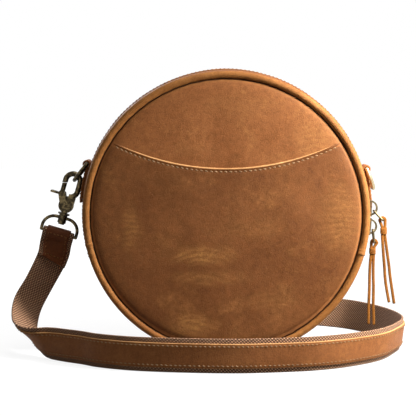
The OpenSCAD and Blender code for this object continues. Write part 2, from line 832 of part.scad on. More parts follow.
// A ribbon that follows the strap, from one ring to another, between two distances off its middle.
// The fold's inner layers start apart at the ring fold_at.
module ribbon(width, low, high, from_ring, to_ring, fold_at = -1) {
  rings = [for (i = [from_ring:to_ring])
    let (w = across_at(i) * width / 2, n = outward_at(i), out = fold_at < 0 ? 0 : fold_open(abs(i - fold_at)))
      let (inner = middle_line[i] + n * (low - out), outer = middle_line[i] + n * (high - out))
        [inner - w, inner + w, outer + w, outer - w]];
  n_rings = len(rings);
  points = [for (r = rings) each r];
  sides = [for (i = [0:n_rings - 2], j = [0:3])
    let (a = 4 * i + j, b = 4 * i + (j + 1) % 4)
      each (j == 2 ? [[a, a + 4, b], [b, a + 4, b + 4]] : [[a, b + 4, b], [a, a + 4, b + 4]])];
  last = 4 * (n_rings - 1);
  ends = [[0, 1, 2], [0, 2, 3], [last, last + 2, last + 1], [last, last + 3, last + 2]];
  polyhedron(points = points, faces = concat(sides, ends));
}

// A loop round an eye's bar, drawn in the hook's frame. It ends past the bar's middle by past.
module fold_ring(in_r, out_r, width, past) {
  translate([0, 0, -eye_h])
    rotate([0, 90, 0])
      linear_extrude(height = width, center = true)
        difference() {
          circle(r = out_r);
          circle(r = in_r);
          translate([past, -2 * out_r]) square([2 * out_r, 4 * out_r]);
        }
}

module strap_webbing() {
  color(dark_brown)
    ribbon(strap_w, -webbing_t / 2, webbing_t / 2, 0, last_ring);
}

module strap_leather() {
  leather_low = webbing_t / 2 + skin_gap;
  color(brown)
    ribbon(overlay_w, leather_low, leather_low + overlay_t, bar_steps, last_ring - bar_steps);
}

// The pieces

module front_panel() { color(brown) turned() panel_section(); }

module front_pocket() {
  color(brown)
    difference() {
      turned() {
        dome_layer(-leather_t - seam_gap, -seam_gap, panel_flat_r);
        intersection() {
          translate([panel_flat_r, -half_depth - seam_gap]) circle(r = leather_t);
          translate([panel_flat_r, -half_depth - seam_gap - leather_t]) square([leather_t, leather_t]);
        }
      }
      across(bag_depth + far) pocket_arc();
    }
}

module pocket_lining() {
  color(cloth)
    difference() {
      turned() dome_layer(-outer_share * seam_gap, -(1 - outer_share) * seam_gap, panel_flat_r - leather_t);
      across(bag_depth + far) pocket_arc(leather_t);
    }
}

module front_piping() { color(tan) piping(); }

module front_piping_cord() { color(cloth) piping_cord(); }

module back_panel() { color(brown) mirror([0, 1, 0]) turned() panel_section(); }

module back_piping() { color(tan) mirror([0, 1, 0]) piping(); }

module back_piping_cord() { color(cloth) mirror([0, 1, 0]) piping_cord(); }

module gusset_lower() {
  end_gap_deg = seam_gap / bag_r * 180 / PI;
  color(brown)
    intersection() {
      gusset_band(0, leather_t, gusset_edge_r, gusset_half);
      slice(zip_to_deg + end_gap_deg, 360 + zip_from_deg - end_gap_deg);
    }
}

module gusset_strip(low_y, high_y) {
  color(brown)
    intersection() {
      gusset_band(0, leather_t, gusset_edge_r, gusset_half);
      slice(zip_from_deg, zip_to_deg);
      depths(low_y, high_y);
    }
}

module gusset_front_strip() { gusset_strip(-far, -zip_offset - zip_half_gap); }

module gusset_back_strip() { gusset_strip(-zip_offset + zip_half_gap, far); }

module zip_tape_front() { color(dark_brown) zip_tape(-1); }

module zip_tape_back() { color(dark_brown) zip_tape(1); }

module zip_teeth_front() { color(old_brass) zip_teeth(-1); }

module zip_teeth_back() { color(old_brass) zip_teeth(1); }

module zip_end_stops() {
  color(old_brass)
    for (deg = [zip_from_deg, zip_to_deg - tooth_deg * tooth_share])
      turned(deg, tooth_deg * tooth_share)
        zip_section()
          translate([0, -tooth_outer]) square([tooth_h, 2 * tooth_outer]);
}

padding_in = leather_t + seam_gap;
lining_in = padding_in + padding_t + seam_gap;
padding_r = panel_edge_r - leather_t - seam_gap - panel_roll_r;

module front_padding() { color(foam) turned() dome_layer(padding_in, padding_in + padding_t, padding_r); }

module back_padding() { mirror([0, 1, 0]) front_padding(); }

module lining_front() { color(cloth) turned() dome_layer(lining_in, lining_in + lining_t, padding_r); }

module lining_back() { mirror([0, 1, 0]) lining_front(); }

lining_out = leather_t + zip_seat + tape_t + loose_gap;

module lining_gusset() {
  color(cloth)
    difference() {
      gusset_band(lining_out, lining_out + lining_t, padding_r, half_depth - lining_in - lining_t - seam_gap);
      intersection() {
        slice(zip_from_deg, zip_to_deg);
        depths(-zip_offset - zip_half_gap - over, -zip_offset + zip_half_gap + over);
      }
    }
}

module inner_pocket() {
  pocket_in = lining_in + lining_t + seam_gap;
  color(cloth)
    mirror([0, 1, 0])
      difference() {
        turned() dome_layer(pocket_in, pocket_in + lining_t, padding_r - over);
        across(bag_depth + far)
          translate([-far, inner_pocket_top]) square([2 * far, far]);
      }
}

module tab_right() { tab(tab_right_deg); }

module tab_left() { mirror([1, 0, 0]) tab(tab_left_deg); }

module ring_left() {
  translate([bar_left_x, tab_offset, bar_left_z]) rotate([0, ring_left_lean, 0]) ring(old_brass);
}

module ring_right() {
  translate([bar_right_x, tab_offset, bar_right_z]) rotate([0, -ring_right_lean, 0]) ring(pale_brass);
}

module slider_upper() { slider(upper_deg); }

module slider_lower() { slider(lower_deg); }

module link_upper() { link(link_place(upper_deg), link_upper_deg); }

module link_lower() { link(link_place(lower_deg), link_lower_deg); }

upper_bar = link_end(upper_deg, link_upper_deg);
lower_bar = link_end(lower_deg, link_lower_deg);

module tassel_upper() { tassel(upper_bar, upper_neck_share, upper_left_shares, upper_right_shares); }

module tassel_lower() { tassel(lower_bar, lower_neck_share, lower_left_shares, lower_right_shares); }

module lace_wrap_upper() { lace_wrap(upper_bar, upper_neck_share); }

module lace_wrap_lower() { lace_wrap(lower_bar, lower_neck_share); }

tail_high = -webbing_t / 2 - skin_gap;
tail_low = tail_high - webbing_t;
patch_high = tail_low - skin_gap;
patch_low = patch_high - overlay_t;
patch_past = fold_in_r / 2;

module strap_fold() { color(dark_brown) fold_ring(fold_in_r, fold_out_r, strap_w, -seam_gap); }

module strap_fold_left() { at_left_hook() strap_fold(); }

module strap_fold_right() { at_right_hook() strap_fold(); }

module strap_tail_left() { color(dark_brown) ribbon(strap_w, tail_low, tail_high, 0, tail_steps, 0); }

module strap_tail_right() {
  color(dark_brown)
    ribbon(strap_w, tail_low, tail_high, last_ring - tail_steps, last_ring, last_ring);
}

// The patch's flat run is a little slimmer than its loop, so that the two join cleanly
module patch_ribbon(from_ring, to_ring, fold_at) {
  ribbon(patch_w - 2 * seam_gap, patch_low + seam_gap, patch_high - 2 * seam_gap, from_ring, to_ring, fold_at);
}

module strap_patch_left() {
  color(brown) {
    at_left_hook() fold_ring(patch_in_r, patch_out_r, patch_w, patch_past);
    patch_ribbon(0, tail_steps, 0);
  }
}

module strap_patch_right() {
  color(brown) {
    at_right_hook() fold_ring(patch_in_r, patch_out_r, patch_w, patch_past);
    patch_ribbon(last_ring - tail_steps, last_ring, last_ring);
  }
}

module eye_left() { at_left_hook() eye(); }

module hook_left() { at_left_hook() hook(); }

module swivel_pin_left() { at_left_hook() swivel_pin(); }

module trigger_left() { at_left_hook() trigger(); }

module rivet_left() { at_left_hook() rivet(); }

module trigger_spring_left() { at_left_hook() trigger_spring(); }

module eye_right() { at_right_hook() eye(); }

module hook_right() { at_right_hook() hook(); }

module swivel_pin_right() { at_right_hook() swivel_pin(); }

module trigger_right() { at_right_hook() trigger(); }

module rivet_right() { at_right_hook() rivet(); }

module trigger_spring_right() { at_right_hook() trigger_spring(); }

front_panel();
front_pocket();
pocket_lining();
front_piping();
front_piping_cord();
back_panel();
back_piping();
back_piping_cord();
gusset_lower();
gusset_front_strip();
gusset_back_strip();
zip_tape_front();
zip_tape_back();
zip_teeth_front();
zip_teeth_back();
zip_end_stops();
front_padding();
back_padding();
lining_front();
lining_back();
lining_gusset();
inner_pocket();
tab_left();
tab_right();
ring_left();
ring_right();
slider_upper();
link_upper();
tassel_upper();
lace_wrap_upper();
slider_lower();
link_lower();
tassel_lower();
lace_wrap_lower();
strap_webbing();
strap_leather();
strap_fold_left();
strap_fold_right();
strap_tail_left();
strap_tail_right();
strap_patch_left();
strap_patch_right();
eye_left();
hook_left();
swivel_pin_left();
trigger_left();
rivet_left();
trigger_spring_left();
eye_right();
hook_right();
swivel_pin_right();
trigger_right();
rivet_right();
trigger_spring_right();
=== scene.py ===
import math

import bpy
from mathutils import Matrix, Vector, noise


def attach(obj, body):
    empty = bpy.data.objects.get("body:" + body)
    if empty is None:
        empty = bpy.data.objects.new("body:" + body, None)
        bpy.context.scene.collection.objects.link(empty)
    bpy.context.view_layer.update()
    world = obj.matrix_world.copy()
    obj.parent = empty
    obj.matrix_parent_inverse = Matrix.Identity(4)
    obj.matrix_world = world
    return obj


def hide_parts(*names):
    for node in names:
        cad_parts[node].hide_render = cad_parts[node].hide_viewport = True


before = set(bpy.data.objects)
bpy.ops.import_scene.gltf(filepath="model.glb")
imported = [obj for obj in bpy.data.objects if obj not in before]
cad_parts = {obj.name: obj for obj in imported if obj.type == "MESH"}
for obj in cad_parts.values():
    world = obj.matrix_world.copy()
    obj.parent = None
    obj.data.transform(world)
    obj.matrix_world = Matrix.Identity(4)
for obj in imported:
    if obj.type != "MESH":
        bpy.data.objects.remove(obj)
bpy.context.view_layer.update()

# Sizes of the bag, in millimetres, as the solids have them
MM = 0.001
BAG_R = 110.0
BAG_Z = 107.5
HALF_DEPTH = 33.0
PANEL_CROWN = 2.5
RIM_RISE = 3.4
RIM_SINK = 2.2
RIM_SHARPNESS = 30
PANEL_EDGE_R = 103.8
PANEL_COLUMNS = 220
LEATHER_T = 1.6
SKIN_T = LEATHER_T - 0.1
PIPING_R = 3.0
PIPING_RING_R = 107.0
SEAM_R = 104.0
GUSSET_HALF = 29.9
GUSSET_TOP = 112.2
GUSSET_FALL = 2.2
EDGE_ROLL = 3.0
ZIP_Y = -18.0
ZIP_HALF_GAP = 5.0
ZIP_FROM, ZIP_TO = -16.0, 195.0
ZIP_SEAT_R = 109.5
ZIP_TILT = math.radians(5.06)
POCKET_ARC_R = 195.0
POCKET_LOW = 36.5
POCKET_SEAM = 2.8
TAB_Y = 9.0
TAB_W = 18.0
TAB_LEFT_DEG = 19.0
TAB_RIGHT_DEG = 17.0
TAB_BAR_R = 115.7
STRAP_W = 25.0
WEBBING_T = 1.5
OVERLAY_W = 18.0
OVERLAY_T = 1.3
SKIN_GAP = 0.2
HOOK_LEAN = math.radians(16)
HOOK_DOWN = Vector((-math.sin(HOOK_LEAN), 0, -math.cos(HOOK_LEAN)))
HOOK_SIDE = Vector((-math.cos(HOOK_LEAN), 0, math.sin(HOOK_LEAN)))
HOOK_AT = Vector((-129.5855, 9.0, 102.2041))
EYE_H = 12.7
LEFT_BAR = HOOK_AT + HOOK_DOWN * EYE_H
RIGHT_BAR = Vector((-24.2, 100.1, 4.8))
UPPER_BAR = Vector((121.267, ZIP_Y, 102.604))
LOWER_BAR = Vector((114.822, ZIP_Y, 85.192))
LACE_W = 2.6
SIDES = ((-1, "front"), (1, "back"))

# Stitches: their pitch, and where it isn't the usual, their length, radius and slant
POCKET_STITCH = {"pitch": 3.7, "length": 2.8, "slant": 0.25}
RIM_STITCH = {"pitch": 3.3, "length": 2.3, "radius": 0.38}
ZIP_STITCH = {"pitch": 3.2, "radius": 0.3}
SEAM_STITCH = {"pitch": 3.2}
STRAP_STITCH = {"pitch": 3.4, "length": 2.1, "slant": 0.3}
PATCH_STITCH = {"pitch": 3.0, "length": 2.1, "slant": 0.3}
PATCH_END_STITCH = {"pitch": 3.0}


# Meshes

def add_piece(name, points, faces, body, materials, replaced=(), uvs=None, face_materials=None):
    """A piece from points in millimetres, riding on a body of the bag."""
    mesh = bpy.data.meshes.new(name)
    mesh.from_pydata([Vector(p) * MM for p in points], [], faces)
    for material in materials:
        mesh.materials.append(material)
    if uvs:
        layer = mesh.uv_layers.new(name="lay")
        for loop in mesh.loops:
            layer.data[loop.index].uv = uvs[loop.vertex_index]
    for polygon in mesh.polygons:
        polygon.use_smooth = True
        if face_materials:
            polygon.material_index = face_materials[polygon.index]
    mesh.update()
    piece = bpy.data.objects.new(name, mesh)
    bpy.context.scene.collection.objects.link(piece)
    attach(piece, body)
    if replaced:
        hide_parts(*replaced)
    return piece


def thicken(piece, thickness, rim=0):
    """Gives a skin its thickness on the side away from its face."""
    solidify = piece.modifiers.new("thickness", "SOLIDIFY")
    solidify.thickness = thickness * MM
    solidify.offset = -1
    solidify.material_offset_rim = rim
    return piece


def grid_faces(rows, columns, closed=False, flip=False):
    """Quads over a grid of points. A closed grid joins its last column to its first."""
    faces = []
    for i in range(rows - 1):
        for j in range(columns if closed else columns - 1):
            k = (j + 1) % columns
            face = (i * columns + j, i * columns + k, (i + 1) * columns + k, (i + 1) * columns + j)
            faces.append(face[::-1] if flip else face)
    return faces


def tube_faces(rows, columns):
    """Faces of a closed section carried along rows, with a cap at both ends."""
    faces = grid_faces(rows, columns, closed=True)
    faces.append(tuple(range(columns))[::-1])
    faces.append(tuple((rows - 1) * columns + j for j in range(columns)))
    return faces


def ring_faces(rows, columns):
    """Faces of a closed section carried once round, back to its first row."""
    faces = []
    for i in range(rows):
        k = (i + 1) % rows
        for j in range(columns):
            m = (j + 1) % columns
            faces.append((i * columns + j, i * columns + m, k * columns + m, k * columns + j))
    return faces


def disc_faces(rings, columns, side):
    """Faces of a disc that looks away from the bag. Its rings run outwards and its middle is its last point."""
    faces = grid_faces(rings, columns, closed=True, flip=side > 0)
    for j in range(columns):
        face = (rings * columns, (j + 1) % columns, j)
        faces.append(face[::-1] if side > 0 else face)
    return faces


def sweep(places, section):
    """Carries a closed section of (across, out) points along places of (middle, across, out)."""
    points, uvs = [], []
    run = 0.0
    for i, (middle, across, out) in enumerate(places):
        if i:
            run += (middle - places[i - 1][0]).length
        for a, o in section:
            points.append(middle + across * a + out * o)
            uvs.append((run * MM, a * MM))
    return points, tube_faces(len(places), len(section)), uvs


def add_strip(name, places, section, body, materials, replaced=(), face_materials=None):
    """A piece made by carrying a section along places."""
    points, faces, uvs = sweep(places, section)
    return add_piece(name, points, faces, body, materials, replaced, uvs, face_materials)


def strip_section(width, low, high, round_r, steps=3):
    """A flat strip's section with rounded edges, between two heights."""
    corners = ((1, 1, 0), (-1, 1, 90), (-1, -1, 180), (1, -1, 270))
    middle, half = (low + high) / 2, (high - low) / 2
    section = []
    for side, up, start in corners:
        for k in range(steps + 1):
            a = math.radians(start + 90 * k / steps)
            section.append((side * (width / 2 - round_r) + round_r * math.cos(a),
                            middle + up * (half - round_r) + round_r * math.sin(a)))
    flats = []
    for (a0, o0), (a1, o1) in zip(section, section[1:] + section[:1]):
        flats.append((a0, o0))
        if abs(a1 - a0) > width / 4:
            flats += [(a0 + (a1 - a0) * k / 6, o0 + (o1 - o0) * k / 6) for k in range(1, 6)]
    return flats


def press_down(p, floor=0.0, soft=1.2):
    """Where the bag stands, its leather is pressed flat on the floor."""
    rise = p.z - floor
    return Vector((p.x, p.y, floor + (rise + math.sqrt(rise * rise + soft * soft)) / 2))


def on_bag(radius, degrees, y):
    """A place round the bag's axis."""
    a = math.radians(degrees)
    return Vector((radius * math.cos(a), y, BAG_Z + radius * math.sin(a)))


def axis_distance(p):
    return math.hypot(p.x, p.z - BAG_Z)


def away_from_axis(p):
    return (p - Vector((0, p.y, BAG_Z))).normalized()


def ripple(p, size, seed=0.0):
    """Smooth unevenness from -1 to 1 that changes over about the given size."""
    return noise.noise(Vector((p.x / size + seed, p.y / size - seed, p.z / size)))


def spline(a, b, c, d, t):
    return 0.5 * (2 * b + (c - a) * t + (2 * a - 5 * b + 4 * c - d) * t * t
                  + (3 * b - a - 3 * c + d) * t * t * t)


def smooth_line(points, steps):
    """A smooth line through given points."""
    last = len(points) - 1
    line = []
    for i in range(last):
        near = [points[max(0, min(last, i + k))] for k in (-1, 0, 1, 2)]
        line += [spline(*near, j / steps) for j in range(steps)]
    return line + [points[last]]


def direction_at(line, i):
    """The way in which a line of points runs past one of them."""
    return (line[min(i + 1, len(line) - 1)] - line[max(i - 1, 0)]).normalized()


def join_meshes(parts):
    """One list of points and faces from several."""
    points, faces = [], []
    for some_points, some_faces in parts:
        first = len(points)
        points += some_points
        faces += [tuple(first + i for i in face) for face in some_faces]
    return points, faces


def stitch(middle, along, out, length, radius):
    """One stitch: a short thread that dips into the leather at both ends."""
    side = along.cross(out).normalized()
    rings, columns = 6, 6
    points = []
    for i in range(rings):
        t = i / (rings - 1)
        bow = math.sin(math.pi * t)
        r = radius * (0.55 + 0.45 * bow)
        centre = middle + along * length * (t - 0.5) + out * radius * (1.1 * bow - 0.75)
        for j in range(columns):
            a = 2 * math.pi * j / columns
            points.append(centre + side * r * math.cos(a) + out * r * math.sin(a))
    return points, tube_faces(rings, columns)


def stitch_row(line, pitch, length=None, radius=0.42, slant=0.0):
    """Stitches at an even pitch along a line of (point, out) places, each turned a little by slant."""
    parts = []
    run, due = 0.0, pitch / 2
    for (p, out), (q, _) in zip(line, line[1:]):
        gap = (q - p).length
        while gap > 0 and due <= run + gap:
            along = (q - p).normalized()
            turned = (along + along.cross(out) * slant).normalized()
            parts.append(stitch(p.lerp(q, (due - run) / gap), turned, out, length or 0.72 * pitch, radius))
            due += pitch
        run += gap
    return parts


def add_stitches(name, parts, thread):
    points, faces = join_meshes(parts)
    add_piece(name, points, faces, "bag", [thread])


# Node groups for effects that several materials share

def new_group(name, inputs, outputs):
    """A node group with these inputs and their usual values. Its output Color is a colour, the rest are values."""
    kinds = {4: "NodeSocketColor", 3: "NodeSocketVector"}
    group = bpy.data.node_groups.new(name, "ShaderNodeTree")
    for label, value in inputs.items():
        kind = kinds[len(value)] if isinstance(value, tuple) else "NodeSocketFloat"
        socket = group.interface.new_socket(label, in_out="INPUT", socket_type=kind)
        socket.default_value = value
    for label in outputs:
        kind = "NodeSocketColor" if label == "Color" else "NodeSocketFloat"
        group.interface.new_socket(label, in_out="OUTPUT", socket_type=kind)
    return group, group.nodes.new("NodeGroupInput").outputs, group.nodes.new("NodeGroupOutput").inputs


def add_node(tree, kind, links=(), **settings):
    """A node with its settings, and links or values for its inputs by name or place."""
    node = tree.nodes.new(kind)
    for key, value in settings.items():
        setattr(node, key, value)
    for key, value in links:
        socket = node.inputs[key]
        if isinstance(value, bpy.types.NodeSocket):
            tree.links.new(value, socket)
        else:
            socket.default_value = value
    return node


def link_all(tree, sockets, values):
    """Links each value to the socket of its name."""
    for label, value in values.items():
        tree.links.new(value, sockets[label])


def math_node(tree, operation, a, b=0.0, c=0.0):
    return add_node(tree, "ShaderNodeMath", [(0, a), (1, b), (2, c)], operation=operation).outputs[0]


def times(tree, a, b, plus=0.0):
    """a times b, plus a third value."""
    return math_node(tree, "MULTIPLY_ADD", a, b, plus)


def wave(tree, value):
    """A sine brought between 0 and 1."""
    return times(tree, math_node(tree, "SINE", value), 0.5, 0.5)


def vector_node(tree, operation, a, b=(0.0, 0.0, 0.0)):
    node = add_node(tree, "ShaderNodeVectorMath", [(0, a), (1, b)], operation=operation)
    return node.outputs["Value" if operation == "LENGTH" else "Vector"]


def mix_colour(tree, factor, a, b, blend="MIX"):
    node = add_node(tree, "ShaderNodeMix", [(0, factor), (6, a), (7, b)], data_type="RGBA", blend_type=blend)
    return node.outputs[2]


def grey(tree, value):
    return add_node(tree, "ShaderNodeCombineColor", [(0, value), (1, value), (2, value)]).outputs[0]


def in_range(tree, value, low, high, to_low, to_high):
    """Brings a value from one range to another."""
    return add_node(tree, "ShaderNodeMapRange", [("Value", value), ("From Min", low), ("From Max", high),
                                                 ("To Min", to_low), ("To Max", to_high)]).outputs[0]


def smooth_mask(tree, value, low, high):
    """0 at low and 1 at high, with a soft start and end."""
    node = add_node(tree, "ShaderNodeMapRange", [("Value", value), ("From Min", low), ("From Max", high)])
    node.interpolation_type = "SMOOTHSTEP"
    return node.outputs["Result"]


def object_place(tree):
    return add_node(tree, "ShaderNodeTexCoord").outputs["Object"]


def split_place(tree, place):
    return add_node(tree, "ShaderNodeSeparateXYZ", [(0, place)]).outputs


def noise_at(tree, place, size, detail=3.0, rough=0.5, warp=0.0):
    """Soft noise whose clouds are about this many millimetres wide."""
    node = add_node(tree, "ShaderNodeTexNoise", [("Vector", place), ("Scale", 1 / (size * MM)), ("Detail", detail),
                                                 ("Roughness", rough), ("Distortion", warp)])
    return node.outputs["Fac"]


def noise_swing(tree, place, size, detail):
    """The same noise, from about -0.5 to 0.5."""
    return math_node(tree, "SUBTRACT", noise_at(tree, place, size, detail), 0.5)


def stretched(tree, place, turn, scale):
    node = add_node(tree, "ShaderNodeMapping", [("Vector", place), ("Rotation", turn), ("Scale", scale)])
    return node.outputs["Vector"]


def turns_per_metre(tree, pitch, turn=2 * math.pi):
    """Turns a pitch in millimetres into an angle for each metre."""
    return math_node(tree, "DIVIDE", turn / MM, pitch)


def build_leather_skin():
    """Oiled leather: soft clouds of tone, paler rubbed patches and painted highlights with fine streaks, and a
    pebbled grain.
    """
    group, enter, leave = new_group(
        "leather_skin",
        {"Tone": (0.2, 0.08, 0.03, 1), "Deep": (0.08, 0.03, 0.01, 1), "Pulled": (0.4, 0.2, 0.08, 1),
         "Mottle": 0.5, "Scratches": 0.5, "Dryness": 0.5, "Rubs And Highlights": 0.0},
        ("Color", "Roughness", "Height"))
    place = object_place(group)
    cloud = noise_at(group, place, 55, 3, 0.5, 0.4)
    patch = noise_at(group, place, 24, 4, 0.55, 0.5)
    fleck = noise_at(group, place, 4.5, 4, 0.65)
    speck = noise_at(group, place, 0.9, 3, 0.6)
    streak = noise_at(group, stretched(group, place, (0.0, 0.12, 0.0), (0.35, 1.0, 1.0)), 1.5, 5, 0.75, 0.8)
    slant = noise_at(group, stretched(group, place, (0.2, -0.8, 0.1), (0.12, 1.0, 1.4)), 2.4, 4, 0.7, 0.3)
    dark = times(group, smooth_mask(group, cloud, 0.66, 0.3), enter["Mottle"])
    pale = times(group, smooth_mask(group, patch, 0.48, 0.85), enter["Mottle"])
    pale = times(group, pale, smooth_mask(group, fleck, 0.2, 0.75))
    broken = times(group, smooth_mask(group, streak, 0.32, 0.68), 0.6, 0.35)
    # This mask carries rubbed patches and also painted highlights, both turned paler
    rubs_and_highlights = times(group, enter["Rubs And Highlights"], broken)
    pale = math_node(group, "MAXIMUM", pale, rubs_and_highlights)
    lines = times(group, smooth_mask(group, slant, 0.66, 0.76), smooth_mask(group, patch, 0.45, 0.65))
    lines = times(group, lines, enter["Scratches"])
    colour = mix_colour(group, dark, enter["Tone"], enter["Deep"])
    colour = mix_colour(group, pale, colour, enter["Pulled"])
    colour = mix_colour(group, lines, colour, enter["Pulled"])
    freckle = times(group, fleck, 0.5, times(group, speck, 0.5))
    shade = grey(group, in_range(group, freckle, 0.34, 0.66, 0.72, 1.26))
    colour = mix_colour(group, 1.0, colour, shade, "MULTIPLY")
    cells = add_node(group, "ShaderNodeTexVoronoi", [("Vector", place), ("Scale", 1150.0)],
                     feature="DISTANCE_TO_EDGE")
    pebble = smooth_mask(group, cells.outputs["Distance"], 0.0, 0.22)
    height = times(group, pebble, 0.35, times(group, speck, 0.5))
    height = times(group, fleck, 0.8, height)
    height = math_node(group, "SUBTRACT", height, times(group, lines, 0.5))
    rough = times(group, enter["Dryness"], 0.5, 0.12)
    rough = times(group, patch, 0.3, rough)
    rough = times(group, math_node(group, "MAXIMUM", lines, rubs_and_highlights), 0.12, rough)
    link_all(group, leave, {"Color": colour, "Roughness": rough, "Height": height})
    return group


def build_rub_and_highlight_spot():
    """A soft oval mask round a place on the bag's face, frayed, with faint arcs where the leather has creased. It
    marks a rubbed patch, and at some places a painted highlight.
    """
    group, enter, leave = new_group(
        "rub_and_highlight_spot", {"Middle": (0.0, 0.0, 0.0), "Half Size": (0.02, 1.0, 0.01), "Arc Pitch": 4.5}, ("Mask",))
    place = object_place(group)
    away = vector_node(group, "SUBTRACT", place, enter["Middle"])
    reach = vector_node(group, "LENGTH", vector_node(group, "DIVIDE", away, enter["Half Size"]))
    frayed = times(group, noise_swing(group, place, 9, 4), 1.3, reach)
    from_arc_middle = vector_node(group, "SUBTRACT", away, (0.0, 0.0, -0.035))
    radius = vector_node(group, "LENGTH", from_arc_middle)
    angle = times(group, radius, turns_per_metre(group, enter["Arc Pitch"]))
    angle = times(group, noise_at(group, place, 14, 3), 14.0, angle)
    arcs = times(group, math_node(group, "SINE", angle), 0.24, 0.76)
    link_all(group, leave, {"Mask": times(group, smooth_mask(group, frayed, 1.15, 0.25), arcs)})
    return group


def build_rim_wear_and_shade():
    """A mask that rises between two distances from the bag's axis, a little broken up. It lays paler edge wear, and
    painted shade in the groove by the piping.
    """
    group, enter, leave = new_group("rim_wear_and_shade", {"From": 0.1, "To": 0.104}, ("Mask",))
    place = object_place(group)
    split = split_place(group, place)
    rise = math_node(group, "SUBTRACT", split[2], BAG_Z * MM)
    radius = math_node(group, "SQRT", times(group, split[0], split[0], times(group, rise, rise)))
    radius = times(group, noise_swing(group, place, 6, 3), 0.0012, radius)
    link_all(group, leave, {"Mask": smooth_mask(group, radius, enter["From"], enter["To"])})
    return group


def build_twill():
    """Webbing: slanting ridges of thread with small crossing steps, laid out along the strap."""
    group, enter, leave = new_group(
        "twill", {"Dark Thread": (0.03, 0.02, 0.01, 1), "Light Thread": (0.1, 0.06, 0.04, 1), "Pitch": 2.0},
        ("Color", "Height", "Roughness"))
    place = add_node(group, "ShaderNodeUVMap", uv_map="lay").outputs[0]
    split = split_place(group, place)
    turns = turns_per_metre(group, enter["Pitch"])
    ridge = wave(group, times(group, math_node(group, "ADD", split[0], split[1]), turns))
    step = wave(group, times(group, times(group, split[0], -0.75, split[1]), turns))
    thread = times(group, step, 0.45, times(group, ridge, 0.55))
    fuzz = noise_at(group, place, 0.5, 3)
    tone = times(group, math_node(group, "SUBTRACT", fuzz, 0.5), 0.5, smooth_mask(group, thread, 0.42, 0.9))
    link_all(group, leave, {"Color": mix_colour(group, tone, enter["Dark Thread"], enter["Light Thread"]),
                            "Height": times(group, fuzz, 0.25, thread),
                            "Roughness": times(group, fuzz, 0.2, 0.68)})
    return group


def build_plain_weave():
    """Plain woven cloth for the inside of the bag, and for thread."""
    group, enter, leave = new_group(
        "plain_weave", {"Thread": (0.3, 0.25, 0.18, 1), "Pitch": 0.8}, ("Color", "Height"))
    split = split_place(group, object_place(group))
    turns = turns_per_metre(group, enter["Pitch"], math.pi)
    warp, weft = (math_node(group, "SINE", times(group, math_node(group, "ADD", split[i], split[1]), turns))
                  for i in (0, 2))
    height = math_node(group, "ABSOLUTE", times(group, warp, weft))
    shade = grey(group, in_range(group, height, 0.0, 1.0, 0.65, 1.1))
    link_all(group, leave, {"Color": mix_colour(group, 1.0, enter["Thread"], shade, "MULTIPLY"),
                            "Height": height})
    return group


def build_aged_metal():
    """Antique plating: a bright tone that darkens in clouds and specks."""
    group, enter, leave = new_group(
        "aged_metal", {"Bright": (0.6, 0.5, 0.3, 1), "Dark": (0.1, 0.08, 0.05, 1), "Age": 0.5, "Polish": 0.5},
        ("Color", "Roughness", "Height"))
    place = object_place(group)
    cloud = noise_at(group, place, 3.2, 4, 0.6, 0.5)
    speck = noise_at(group, place, 0.6, 3, 0.6)
    clouded = times(group, smooth_mask(group, cloud, 0.28, 0.6), enter["Age"])
    specked = times(group, smooth_mask(group, speck, 0.55, 0.75), times(group, enter["Age"], 0.8))
    dim = math_node(group, "MAXIMUM", clouded, specked)
    rough = math_node(group, "SUBTRACT", times(group, dim, 0.25, 0.5), times(group, enter["Polish"], 0.4))
    link_all(group, leave, {"Color": mix_colour(group, dim, enter["Bright"], enter["Dark"]),
                            "Roughness": rough, "Height": speck})
    return group


GROUPS = {"leather_skin": build_leather_skin(), "rub_and_highlight_spot": build_rub_and_highlight_spot(), "rim_wear_and_shade": build_rim_wear_and_shade(),
          "twill": build_twill(), "plain_weave": build_plain_weave(), "aged_metal": build_aged_metal()}


# Materials

WARM_GLOSS = (1.0, 0.8, 0.6, 1.0)


def place_group(tree, name, values):
    """Places a group with values or links for its inputs, and gives its outputs."""
    return add_node(tree, "ShaderNodeGroup", values.items(), node_tree=GROUPS[name]).outputs


def new_material(name, shader_values):
    material = bpy.data.materials.new(name)
    material.use_nodes = True
    tree = material.node_tree
    shader = tree.nodes["Principled BSDF"]
    for key, value in shader_values.items():
        shader.inputs[key].default_value = value
    return material, tree, shader.inputs


def add_bump(tree, shader, height, distance):
    bump = add_node(tree, "ShaderNodeBump", [("Height", height), ("Distance", distance * MM), ("Strength", 1.0)])
    tree.links.new(bump.outputs[0], shader["Normal"])


def rub_and_highlight_mask(tree, spots):
    """One mask for all the rubbed places and painted highlights of a piece."""
    rubs_and_highlights = None
    for x, z, half_w, half_h, strength in spots:
        spot = place_group(tree, "rub_and_highlight_spot", {"Middle": (x * MM, -HALF_DEPTH * MM, z * MM),
                                                 "Half Size": (half_w * MM, 1.0, half_h * MM)})
        mask = times(tree, spot["Mask"], strength)
        rubs_and_highlights = mask if rubs_and_highlights is None else math_node(tree, "MAXIMUM", rubs_and_highlights, mask)
    return rubs_and_highlights


